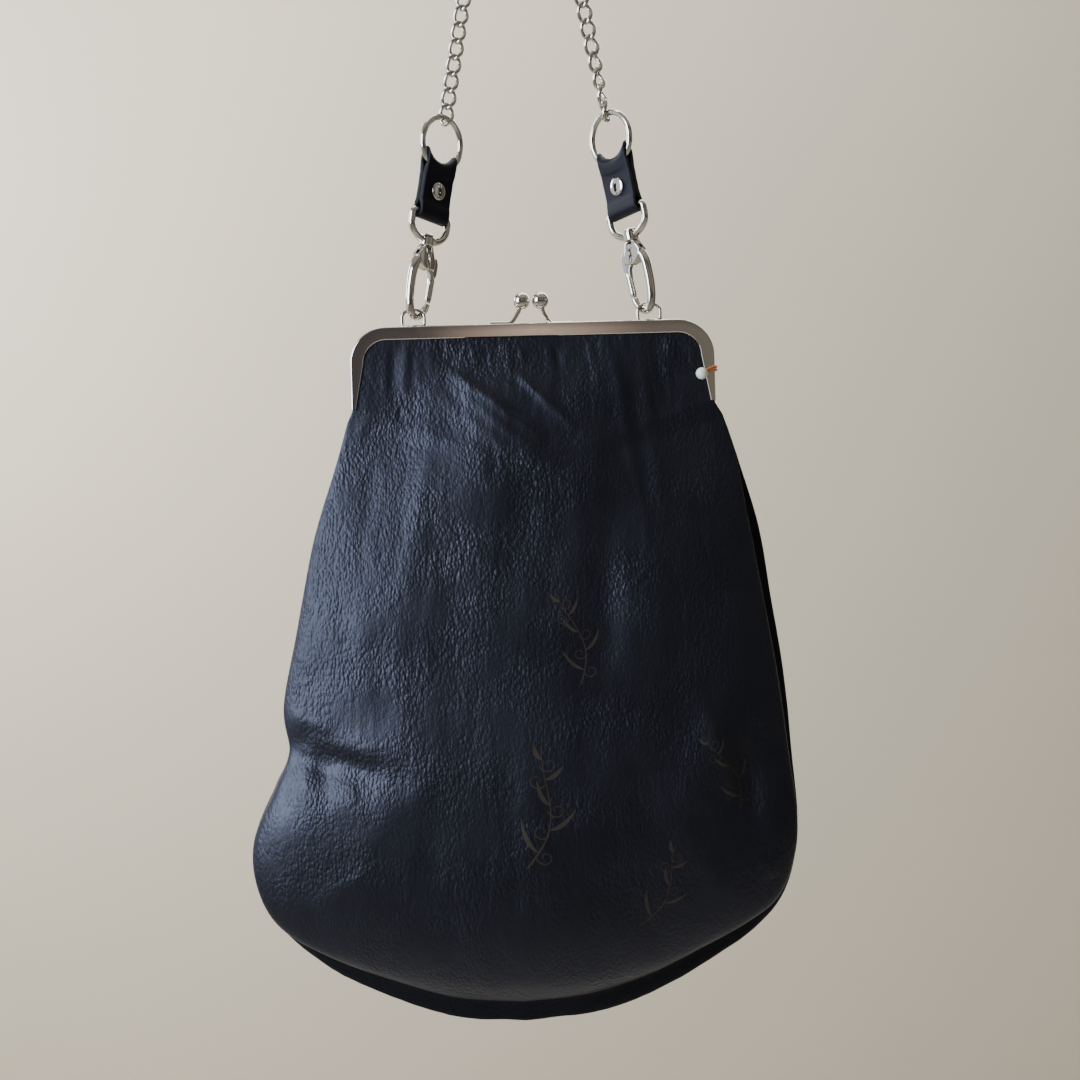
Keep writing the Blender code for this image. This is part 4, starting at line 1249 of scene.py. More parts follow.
@dataclass
class FrameHalves:
    """Sprung metal frame: two channels with lugs, strap rings and the two balls of the kiss lock."""

    palette: Palette
    wire: WireRecipe
    wall: WallShape
    pin_radius: float = 0.0010
    lug_radius: float = 0.0032
    lug_thickness: float = 0.0009
    lug_inset: float = 0.00005
    lug_soft: float = 0.00015
    ring_width: float = 0.0142
    ring_height: float = D_RING_HEIGHT
    ring_wire: float = D_RING_WIRE
    ring_arch: float = 0.72
    ring_corner: float = 0.28
    solder: float = SOLDER
    ball_radius: float = 0.00465
    ball_height: float = 0.0128
    ball_spacing: float = 0.0103
    foot_reach: float = 0.0225
    clasp_wire: float = 0.0023
    foot_start: float = 0.36
    foot_blend: float = 0.2
    foot_width: float = 1.45
    foot_height: float = 0.78
    top_round: float = 0.0010
    lip: float = 0.00035
    corner_cells: int = 22
    arm_cells: int = 10
    clasp_path: tuple[tuple[float, float, float], ...] = (
        (1.000, 0.0, 0.051), (0.760, 0.0, 0.051), (0.520, 0.0, 0.051), (0.430, 0.0, 0.170), (0.360, 0.3, 0.360),
        (0.299, 0.6, 0.550), (0.270, 1.0, 0.782))

    def stations(self) -> list[tuple[Vector, Vector, float]]:
        """Stations of the whole frame from the right arm over the top to the left arm.

        Returns:
            Outer edge, inward direction and band height of each station.
        """
        fine = WallShape(Half.FRONT, 0, 0, 0, (), (), 0, top_cells=12, corner_cells=self.corner_cells,
                         arm_cells=self.arm_cells)
        left = [fine.frame_station(index) for index in range(fine.frame_cells + 1)]
        right = [(Vector((-outer.x, outer.y)), Vector((-inward.x, inward.y)), band)
                 for outer, inward, band in left]
        return list(reversed(right)) + left[1:]

    def section(self, band: float) -> list[tuple[float, float]]:
        """Section of the channel, open towards the bag.

        Args:
            band: Height of the band there.

        Returns:
            Points as distance from the outer edge and distance from the split.
        """
        near, far = GAP / 2, CHANNEL_OUTER
        points = [(0.0, near)]
        points += [(self.top_round * (1 - math.cos(angle)), far - self.top_round * (1 - math.sin(angle)))
                   for angle in angles(math.pi / 2, 5)]
        points += [(band - self.lip, far), (band, far - self.lip), (band, far - METAL), (METAL, far - METAL),
                   (METAL, near + METAL), (band, near + METAL), (band, near)]
        return points

    def channel(self, half: Half) -> Mesh:
        """Sweep the channel of one half.

        Args:
            half: Which half.

        Returns:
            The mesh.
        """
        shape = bmesh.new()
        rings = []
        for outer, inward, band in self.stations():
            ring = []
            for along, y in self.section(band):
                place = outer + inward * along
                ring.append(shape.verts.new((place.x, SPLIT_Y + half.value * y, FRAME_TOP + place.y)))
            rings.append(ring)
        for low, high in zip(rings, rings[1:]):
            ring_faces(shape, low, high)
        shape.faces.new(rings[0])
        shape.faces.new(rings[-1])
        return mesh_of(shape, "channel")

    def lug(self, half: Half, end: Side) -> Mesh:
        """Round end of an arm with the hole for the pin.

        Args:
            half: Which half of the frame.
            end: Which arm.

        Returns:
            The mesh.
        """
        flat = self.lug_thickness / 2
        disc = washer(self.pin_radius + GAP, self.lug_radius, flat, self.lug_soft, 40)
        y = half.value * (GAP / 2 + self.lug_inset + flat)
        centre = (end.value * (FRAME_WIDTH / 2 - self.lug_radius), SPLIT_Y + y, FRAME_TOP - self.wall.arm_drop)
        return placed(disc, Matrix.Translation(centre) @ UPRIGHT)

    def strap_ring(self, end: Side) -> Mesh:
        """Wire ring with a flat foot, upright on the frame.

        Args:
            end: Which end.

        Returns:
            The mesh.
        """
        half = (self.ring_width - self.ring_wire) / 2
        height = self.ring_height - self.ring_wire
        low = self.ring_wire / 2 - self.solder
        corner = half * self.ring_corner
        rise = half * self.ring_arch
        line = [(half * math.cos(angle), height - rise + rise * math.sin(angle))
                for angle in angles(math.pi, 24)]
        line += [(corner - half - corner * math.cos(angle), corner - corner * math.sin(angle))
                 for angle in angles(math.pi / 2, 6)]
        line += [(half - corner + corner * math.sin(angle), corner - corner * math.cos(angle))
                 for angle in angles(math.pi / 2, 6)[:-1]]
        points = [Vector((end.value * D_RING_X + x, 0.0, FRAME_TOP + low + z)) for x, z in line]
        return self.wire.wire(points, self.ring_wire / 2, self.palette.nickel, closed=True)

    def clasp(self, half: Half) -> list[Mesh]:
        """Flattened foot, arm and ball of the kiss lock on one half.

        Args:
            half: Which half.

        Returns:
            The meshes.
        """
        side = half.value
        middle = SPLIT_Y + side * (GAP / 2 + CHANNEL_DEPTH / 2)
        path = [row_curve(self.clasp_path, step / 30) for step in range(31)]
        points = [Vector((side * self.foot_reach * reach, mix(middle, SPLIT_Y, lean),
                          FRAME_TOP + self.ball_height * rise)) for reach, lean, rise in path]
        arm = self.wire.wire(points, self.clasp_wire / 2, self.palette.nickel, sides=20)
        for vertex in arm.vertices:
            flat = smooth((abs(vertex.co.x) / self.foot_reach - self.foot_start) / self.foot_blend)
            vertex.co.y = middle + (vertex.co.y - middle) * mix(1.0, self.foot_width, flat)
            vertex.co.z = FRAME_TOP + (vertex.co.z - FRAME_TOP) * mix(1.0, self.foot_height, flat)
        centre = Vector((side * self.ball_spacing / 2, SPLIT_Y, FRAME_TOP + self.ball_height))
        return [arm, placed(ball(self.ball_radius, 48, 32), Matrix.Translation(centre))]

    def build(self) -> None:
        """Build both halves."""
        for half in Half:
            meshes = [self.channel(half)]
            meshes[0].materials.append(self.palette.nickel)
            meshes += [self.lug(half, end) for end in Side] + self.clasp(half)
            if half is Half.BACK:
                meshes += [self.strap_ring(end) for end in Side]
            node = f"frame_{half.label}"
            whole = joined("frame", meshes)
            show(whole, f"{node}_channel", self.palette.nickel, "bag", Slot.NICKEL, (node,), 38)


@dataclass
class Rig:
    """Places along one end of the strap, measured upwards from the hook's lowest point."""

    end: Side
    hook_length: float = 0.0412
    hook_width: float = 0.0180
    hook_wire: float = 0.0042
    hook_breadth: float = 1.2
    hook_play: float = 0.0008
    hook_inset: float = 0.2
    head_thickness: float = 0.0062
    gate_thickness: float = 0.0026
    gate_pin_radius: float = 0.0007
    gate_bar_radius: float = 0.0019
    barrel_radius: float = 0.0042
    barrel_height: float = 0.0050
    post_radius: float = 0.0017
    post_head_radius: float = 0.0032
    post_head_height: float = 0.0016
    loop_inner_width: float = 0.0225
    loop_height: float = 0.0150
    loop_wire: float = 0.0038
    tab_width: float = 0.021
    tab_length: float = 0.0335
    tab_half: float = 0.0029
    ring_inner_radius: float = 0.0125
    ring_wire: float = 0.0034
    link_play: float = 0.0008
    cap_radius: float = 0.0048
    cap_height: float = 0.0012
    shank_radius: float = 0.0014

    def __post_init__(self) -> None:
        """Work out the strap's line and the heights along it."""
        side = self.end.value
        self.up = Vector((-side * math.sin(STRAP_LEAN), 0, math.cos(STRAP_LEAN)))
        level = Vector((math.cos(STRAP_LEAN), 0, side * math.sin(STRAP_LEAN)))
        self.out = side * math.cos(HARDWARE_TURN) * level - math.sin(HARDWARE_TURN) * Vector((0, 1, 0))
        self.across = self.up.cross(self.out)
        lowest = D_RING_HEIGHT - SOLDER - D_RING_WIRE - self.hook_play - self.hook_wire
        self.base = Vector((side * (D_RING_X - lowest * self.hook_inset), 0, FRAME_TOP + lowest))
        self.barrel_at = self.hook_length + GAP + self.barrel_height / 2
        self.loop_bar_at = self.barrel_at + self.loop_height
        self.eye_low = self.loop_wire / 2 + GAP + LEATHER
        self.eye_high = self.ring_wire / 2 + GAP + LEATHER
        self.ring_radius = self.ring_inner_radius + self.ring_wire / 2
        self.ring_bottom_at = self.loop_bar_at + self.tab_length - self.eye_low - self.eye_high
        self.ring_at = self.ring_bottom_at + self.ring_radius
        self.rivet_at = (self.loop_bar_at + self.ring_bottom_at) / 2
        self.chain_start_at = self.ring_at + self.ring_inner_radius - GAP - self.link_play

    def at(self, height: float, out: float = 0.0, across: float = 0.0) -> Vector:
        """A place in the hook's plane."""
        return self.base + self.up * height + self.out * out + self.across * across

    def matrix(self, height: float, out: float = 0.0) -> Matrix:
        """A frame with X out, Y across the hook's plane and Z up the strap."""
        axes = Matrix((self.out, self.across, self.up)).transposed().to_4x4()
        return Matrix.Translation(self.at(height, out)) @ axes


HOOK_PATH = (
    (0.10, 0.900, 1.05), (0.50, 0.820, 1.15), (0.74, 0.690, 1.15), (0.78, 0.520, 1.10),
    (0.74, 0.350, 1.05), (0.62, 0.200, 1.00), (0.36, 0.085, 0.95), (0.00, 0.046, 0.90),
    (-0.36, 0.085, 0.90), (-0.64, 0.170, 0.88), (-0.75, 0.245, 0.86),
)
HEAD_OUTLINE = (
    (-0.34, 1.000), (0.34, 1.000), (0.72, 0.860), (0.52, 0.760),
    (0.10, 0.700), (-0.30, 0.690), (-0.68, 0.720), (-0.72, 0.800),
)
GATE_OUTLINE = (
    (-0.68, 0.276), (-0.92, 0.276), (-0.95, 0.450), (-0.96, 0.600),
    (-1.10, 0.665), (-1.09, 0.800), (-0.96, 0.880), (-0.76, 0.872), (-0.64, 0.812),
    (-0.36, 0.790), (-0.34, 0.715), (-0.60, 0.640), (-0.69, 0.450),
)
GATE_BAR = ((-0.80, 0.284), (-0.82, 0.450), (-0.84, 0.610))
GATE_PIVOT = (-0.54, 0.755)
SLOT_OUTLINE = ((-2.00, 0.000), (-2.00, 0.900), (-0.40, 0.900), (-0.10, 0.800), (-0.10, 0.000))
HOOK_WINDOW = (0.60, 0.900)


@dataclass
class SnapHook:
    """Swivel snap hook: body, head with its post, and the sprung gate."""

    rig: Rig
    palette: Palette
    wire: WireRecipe
    head_bevel: float = 0.0007
    gate_bevel: float = 0.0003
    window_radius: float = 0.0016
    pin_reach: float = 0.45
    post_rim: float = 0.0008
    post_dome: float = 0.7
    post_edge: float = 0.0002
    bar_tip: float = 0.8

    def plane(self, row: Sequence[float]) -> tuple[float, float]:
        """A table row as real lengths in the hook's plane."""
        return row[0] * self.rig.hook_width / 2, row[1] * self.rig.hook_length

    def body(self) -> Mesh:
        """Cast body with cheeks, gate pin, post and its riveted head.

        Returns:
            The mesh.
        """
        rig = self.rig
        path = [row_curve(HOOK_PATH, step / 48) for step in range(49)]
        points = [Vector((out * rig.hook_width / 2, 0, up * rig.hook_length)) for out, up, _ in path]
        shank = self.wire.wire(points, rig.hook_wire / 2, self.palette.nickel,
                               shares=[row[2] for row in path], sides=24)
        shank = placed(shank, Matrix.Scale(rig.hook_breadth, 4, (0, 1, 0)))
        head_line, slot_line = ([self.plane(row) for row in outline]
                                for outline in (HEAD_OUTLINE, SLOT_OUTLINE))
        head = placed(flat_shape([head_line], rig.head_thickness, self.head_bevel, 3), UPRIGHT)
        slot = placed(flat_shape([slot_line], rig.gate_thickness + 2 * GAP), UPRIGHT)
        out, up = self.plane(HOOK_WINDOW)
        window = placed(rod(self.window_radius, rig.hook_width / 2, 4),
                        Matrix.Translation((out, 0, up)) @ Matrix.Rotation(math.pi / 2, 4, "Y")
                        @ Matrix.Rotation(math.pi / 4, 4, "Z"))
        pivot_out, pivot_up = self.plane(GATE_PIVOT)
        pin = placed(rod(rig.gate_pin_radius, rig.head_thickness * self.pin_reach, 16),
                     Matrix.Translation((pivot_out, 0, pivot_up)) @ UPRIGHT)
        low = rig.hook_length - rig.hook_wire / 2
        top = rig.barrel_at + rig.barrel_height / 2 + GAP
        cap = top + rig.post_head_height
        post = turned([(0.0, low), (rig.post_radius, low), (rig.post_radius, top), (rig.post_head_radius, top),
                       (rig.post_head_radius, top + self.post_rim),
                       (rig.post_head_radius * self.post_dome, cap - self.post_edge), (0.0, cap)], 32)
        cheeks = combined(head, [slot], "DIFFERENCE")
        solid = combined(cheeks, [shank, pin, post], "UNION")
        return placed(combined(solid, [window], "DIFFERENCE"), rig.matrix(0.0))

    def gate(self) -> Mesh:
        """Sprung gate with its thumb piece.

        Returns:
            The mesh.
        """
        rig = self.rig
        pivot_out, pivot_up = self.plane(GATE_PIVOT)
        outline = [self.plane(row) for row in GATE_OUTLINE]
        bore_radius = rig.gate_pin_radius + GAP
        bore = [(pivot_out + bore_radius * math.cos(angle), pivot_up + bore_radius * math.sin(angle))
                for angle in angles(2 * math.pi, 20, closed=True)]
        plate = placed(flat_shape([outline, bore], rig.gate_thickness, self.gate_bevel, 2), UPRIGHT)
        line = [Vector((out, 0, up))
                for out, up in (self.plane(row_curve(GATE_BAR, step / 12)) for step in range(13))]
        rounded = [mix(self.bar_tip, 1.0, smooth(min(step, 12 - step) / 2)) for step in range(13)]
        bar = self.wire.wire(line, rig.gate_bar_radius, self.palette.nickel, shares=rounded, sides=24)
        return placed(joined("gate", [combined(plate, [bar], "UNION")]), rig.matrix(0.0))

    def build(self) -> None:
        """Build the hook and its gate."""
        end = self.rig.end.label
        for mesh, node, word in ((self.body(), f"hook_{end}", "body"), (self.gate(), f"gate_{end}", "lever")):
            show(mesh, f"{node}_{word}", self.palette.nickel, node, Slot.NICKEL, (node,), 32)


@dataclass
class StrapEnd:
    """Swivel loop, folded leather tab with its rivet, and the round ring of one strap end."""

    rig: Rig
    palette: Palette
    wire: WireRecipe
    loop_bow: float = 0.62
    loop_corner: float = 0.15
    barrel_lip: float = 0.0004
    padded_to: float = 0.0105
    padding_length: float = 0.004
    slices: int = 28
    flank_place: float = 0.45
    flank_fullness: float = 0.35
    wrap_from: float = 0.3
    wrap_length: float = 0.5
    wrap_whole: float = 0.8
    edge_soft: float = 0.0004
    edge_wear: float = 0.0003
    cap_rim: float = 0.0003

    def loop(self) -> Mesh:
        """Loop with the barrel that the hook's post turns in.

        Returns:
            The mesh.
        """
        rig = self.rig
        half = (rig.loop_inner_width + rig.loop_wire) / 2
        bow = [(half * math.cos(angle), rig.loop_height * self.loop_bow * (1 + math.sin(angle)))
               for angle in (math.pi * (1 + step / 36) for step in range(37))]
        corner = half * self.loop_corner
        height = rig.loop_height
        turn = [(math.cos(angle), math.sin(angle)) for angle in angles(math.pi / 2, 6)]
        top = [(half - corner + corner * x, height - corner + corner * y) for x, y in turn]
        top += [(corner - half - corner * x, height - corner + corner * y) for x, y in reversed(turn)]
        points = [rig.at(rig.barrel_at + up, out) for out, up in bow + top]
        wire = self.wire.wire(points, rig.loop_wire / 2, self.palette.nickel, closed=True, sides=20)
        tall = rig.barrel_height / 2
        bore = rig.post_radius + GAP
        where = rig.matrix(rig.barrel_at)
        barrel = placed(washer(bore, rig.barrel_radius, tall, self.barrel_lip, 44), where)
        drill = placed(rod(bore, 2 * tall, 44), where)
        return joined("loop", [combined(wire, [drill], "DIFFERENCE"), barrel])

    def tab_section(self) -> list[tuple[float, float]]:
        """Side view of the folded tab's outer face, measured from the rivet.

        Returns:
            Thickness and height of each point of the closed line.
        """
        rig = self.rig
        high, low = rig.ring_bottom_at - rig.rivet_at, rig.loop_bar_at - rig.rivet_at
        waist, flat = rig.tab_half, rig.cap_radius + 2 * GAP
        rows = []
        for middle, radius, first in ((high, rig.eye_high, 0.0), (low, rig.eye_low, math.pi)):
            for angle in angles(math.pi, 6):
                rows.append((radius * math.cos(first + angle), middle + radius * math.sin(first + angle)))
            sign = math.cos(first)
            flank = mix(flat, abs(middle), self.flank_place)
            rows.append((-sign * mix(radius, waist, self.flank_fullness), sign * flank))
            rows.append((-sign * waist, sign * flat))
            rows.append((-sign * waist, -sign * flat))
            rows.append((-sign * mix(radius, waist, self.flank_fullness), -sign * flank))
        wrapped = [rows[-1], *rows, rows[0], rows[1]]
        line = []
        for index in range(len(rows)):
            for part in range(6):
                line.append(tuple(row_curve(wrapped[index:index + 4], (1 + part / 6) / 3)))
        return line

    def tab(self) -> Mesh:
        """Leather strip folded round both rings, its cut edges softly rounded.

        Returns:
            The mesh.
        """
        rig = self.rig
        outer = self.tab_section()
        count = len(outer)
        normals = []
        for index in range(count):
            before, after = outer[index - 1], outer[(index + 1) % count]
            along = Vector((after[0] - before[0], after[1] - before[1])).normalized()
            normals.append(Vector((along.y, -along.x)))
        half = rig.tab_width / 2
        soft = self.edge_soft
        cuts = [(-half, soft), (-half + soft, 0.0)]
        cuts += [(mix(-half + soft, half - soft, step / self.slices), 0.0) for step in range(1, self.slices)]
        cuts += [(half - soft, 0.0), (half, soft)]
        high = rig.ring_bottom_at - rig.rivet_at
        shape = bmesh.new()
        rings = []
        for depth_side in (0, 1):
            sheet = []
            for across, inset in cuts:
                ring = []
                for (x, y), normal in zip(outer, normals):
                    padded = smooth((self.padded_to - abs(y)) / self.padding_length)
                    thick = mix(LEATHER, rig.tab_half - GAP / 3, padded)
                    deep = inset + depth_side * (thick - 2 * inset)
                    place = Vector((x, y)) - normal * deep
                    wear = self.edge_wear * noise.noise(Vector((across * 300, place.x * 900, place.y * 700)))
                    level = math.sqrt(rig.ring_radius ** 2 - min(abs(across), half) ** 2)
                    above = smooth((place.y / high - self.wrap_from) / self.wrap_length)
                    around = place.y - high if place.y > high * self.wrap_whole else 0.0
                    spare = rig.ring_radius - level + around * (rig.ring_radius / level - 1)
                    lifted = place.y + above * spare
                    edge = wear if abs(across) > half - soft else 0.0
                    ring.append(shape.verts.new((across + edge, place.x, lifted)))
                sheet.append(ring)
            rings.append(sheet)
        for sheet in rings:
            for low, up in zip(sheet, sheet[1:]):
                ring_faces(shape, low, up)
        for cut in (0, -1):
            ring_faces(shape, rings[0][cut], rings[1][cut])
        mesh = mesh_of(shape, "tab", FINE_WELD / 2)
        mesh.materials.append(self.palette.tab)
        mesh.materials.append(self.palette.tab_edge)
        # Faces at the cut edges get the edge colour, which carries a painted highlight.
        for face in mesh.polygons:
            if all(abs(mesh.vertices[index].co.x) > half - soft * 1.6 for index in face.vertices):
                face.material_index = 1
        return placed(mesh, rig.matrix(rig.rivet_at))

    def rivet(self) -> Mesh:
        """Double cap rivet with softly domed caps.

        Returns:
            The mesh.
        """
        rig = self.rig
        waist = rig.tab_half + GAP
        dome = [(rig.cap_radius * math.sin(angle),
                 waist + self.cap_rim + (rig.cap_height - self.cap_rim) * math.cos(angle))
                for angle in angles(math.pi / 2, 10)]
        upper = dome + [(rig.cap_radius, waist), (rig.shank_radius, waist)]
        profile = upper + [(radius, -height) for radius, height in reversed(upper)]
        return placed(turned(profile, 48), rig.matrix(rig.rivet_at) @ UPRIGHT)

    def build(self) -> None:
        """Build the strap end."""
        rig, end = self.rig, self.rig.end.label
        points = [rig.at(rig.ring_at + rig.ring_radius * math.sin(angle), rig.ring_radius * math.cos(angle))
                  for angle in angles(2 * math.pi, 72, closed=True)]
        ring = self.wire.wire(points, rig.ring_wire / 2, self.palette.nickel, closed=True, sides=20)
        show(ring, f"o_ring_{end}_wire", self.palette.nickel, "bag", Slot.NICKEL, (f"o_ring_{end}",))
        show(self.loop(), f"swivel_loop_{end}_wire", self.palette.nickel, "bag", Slot.NICKEL,
             (f"swivel_loop_{end}",), 38)
        show(self.tab(), f"tab_{end}_strip", self.palette.tab, "bag", Slot.LEATHER, (f"tab_{end}",), 50)
        show(self.rivet(), f"rivet_{end}_caps", self.palette.nickel, "bag", Slot.NICKEL, (f"rivet_{end}",), 40)


@dataclass
class CurbChain:
    """Twisted curb chain from one round ring over the hanging point to the other."""

    rigs: tuple[Rig, Rig]
    palette: Palette
    link_width: float = 0.0092
    link_wire: float = 0.0023
    link_pitch: float = 0.0092
    link_overlap: float = 0.0004
    link_twist: float = math.radians(45)
    links_turning: int = 5
    top_radius: float = 0.0126
    link_sides: int = 30
    pitch_range: tuple[float, float] = (0.8, 1.2)
    halvings: int = 40
    step_reach: float = 1.6
    step_halvings: int = 30

    def route(self) -> tuple[list[Vector], float]:
        """Even steps of the chain's line.

        Returns:
            Contact points between links, and the pitch.
        """
        start, end = (rig.at(rig.chain_start_at) for rig in self.rigs)
        turn = math.pi / 2 - STRAP_LEAN
        centre = Vector((0, 0, self.link_width / 2 - self.top_radius))
        leave = centre + self.top_radius * Vector((-math.sin(turn), 0, math.cos(turn)))
        arm = (leave - start).length
        arc = 2 * turn * self.top_radius
        total = 2 * arm + arc

        def along(distance: float) -> Vector:
            """Place at a distance along the line."""
            if distance < arm:
                return start.lerp(leave, distance / arm)
            if distance < arm + arc:
                angle = (distance - arm) / self.top_radius - turn
                return centre + self.top_radius * Vector((math.sin(angle), 0, math.cos(angle)))
            back = Vector((-leave.x, leave.y, leave.z))
            return back.lerp(end, (distance - arm - arc) / arm)

        count = round(total / self.link_pitch)
        low, high = (self.link_pitch * share for share in self.pitch_range)
        stops, pitch = [], self.link_pitch
        for _ in range(self.halvings):
            pitch = (low + high) / 2
            stops, reached = self.walk(along, count, pitch, total)
            low, high = (low, pitch) if reached else (pitch, high)
        stops[-1] = end
        return stops, pitch

    def walk(self, along: Callable[[float], Vector], count: int, pitch: float,
             total: float) -> tuple[list[Vector], bool]:
        """Walk the line in straight steps.

        Args:
            along: Place at a distance.
            count: Number of links.
            pitch: Length of a step.
            total: Length of the line.

        Returns:
            The stops, and whether the walk ran past the end.
        """
        distance = 0.0
        stops = [along(0.0)]
        for _ in range(count):
            near, far = distance, min(distance + self.step_reach * pitch, total + pitch)
            for _ in range(self.step_halvings):
                middle = (near + far) / 2
                close = (along(middle) - stops[-1]).length < pitch
                near, far = (middle, far) if close else (near, middle)
            distance = far
            stops.append(along(min(distance, total + pitch)))
        return stops, distance > total

    def link(self, wire: WireRecipe, pitch: float) -> Mesh:
        """One twisted link about the origin, its length along Z.

        Args:
            wire: Recipe for round wire.
            pitch: Distance between contact points.

        Returns:
            The link's mesh.
        """
        half = (pitch - self.link_overlap + self.link_wire) / 2
        half_width = (self.link_width - self.link_wire) / 2
        points = []
        for angle in angles(2 * math.pi, self.link_sides, closed=True):
            plane = self.link_twist * math.cos(angle)
            points.append(Vector((half_width * math.sin(angle) * math.cos(plane),
                                  half_width * math.sin(angle) * math.sin(plane), half * math.cos(angle))))
        return wire.wire(points, self.link_wire / 2, self.palette.nickel, closed=True, sides=14)

    def build(self, wire: WireRecipe) -> None:
        """Repeat the link along the route.

        Args:
            wire: Recipe for round wire.
        """
        stops, pitch = self.route()
        first, last = HARDWARE_TURN + self.link_twist, HARDWARE_TURN - self.link_twist
        side = Vector((0, 1, 0))
        places = []
        for index, (start, end) in enumerate(zip(stops, stops[1:])):
            turning = (index - len(stops) + 2 + self.links_turning) / self.links_turning
            turn = mix(first, last, min(max(turning, 0.0), 1.0))
            along = (end - start).normalized()
            other = along.cross(side)
            right = side * math.cos(turn) + other * math.sin(turn)
            axes = Matrix((right, along.cross(right), along)).transposed().to_4x4()
            places.append(Matrix.Translation((start + end) / 2) @ axes)
        links = RepeatRecipe("chain_links").copies(self.link(wire, pitch), places, self.palette.nickel)
        show(links, "strap_chain_links", self.palette.nickel, "bag", Slot.NICKEL, ("strap_chain",))


@dataclass
class EdgeBead:
    """White bead at the frame's end, tied on with a doubled thread."""

    palette: Palette
    wire: WireRecipe
    radius: float = 0.0033
    bore_radius: float = 0.0017
    bead_x: float = FRAME_WIDTH / 2 - 0.008
    bead_z: float = -0.0310
    thread_radius: float = 0.00055
    thread_z: float = -0.0276
    thread_spread: float = 1.5
    thread_run: tuple[float, float] = (0.45, 1.1)
    thread_back: float = 0.9

    def build(self) -> None:
        """Build the bead and its thread."""
        wall_y = SPLIT_Y - LEATHER_OUTER - LEATHER
        centre = Vector((self.bead_x, wall_y - self.radius - LEATHER, FRAME_TOP + self.bead_z))
        thin = self.thread_radius
        face_y, height = SPLIT_Y - CHANNEL_OUTER, FRAME_TOP + self.thread_z
        outer = Vector((FRAME_WIDTH / 2 + thin + GAP, face_y, height))
        front = Vector((FRAME_WIDTH / 2 - METAL, face_y - thin - GAP, height))
        along = (front - centre).normalized()
        turn = along.to_track_quat("Z", "Y").to_matrix().to_4x4()
        start = math.asin(self.bore_radius / self.radius)
        profile = [(self.radius * math.sin(start + angle), self.radius * math.cos(start + angle))
                   for angle in angles(math.pi - start, 24)]
        profile = [(0.0, 0.0), (self.bore_radius, 0.0)] + profile
        bead = placed(turned(profile, 40), Matrix.Translation(centre) @ turn)
        show(bead, "edge_bead_ball", self.palette.bead, "bag", Slot.BEAD, ("edge_bead",), 50)
        apart = Vector((0, 0, thin * self.thread_spread))
        run = [centre + along * self.radius * share for share in self.thread_run]
        run += [front, outer, outer + Vector((0, CHANNEL_DEPTH * self.thread_back, 0))]
        line = [point - apart for point in reversed(run)]
        line.append(run[0] - along * thin)
        line.extend(point + apart for point in run)
        points = [Vector(row_curve(line, step / 90)) for step in range(91)]
        tie = self.wire.wire(points, thin, self.palette.thread, sides=12)
        show(tie, "bead_thread_tie", self.palette.thread, "bag", Slot.THREAD, ("bead_thread",))


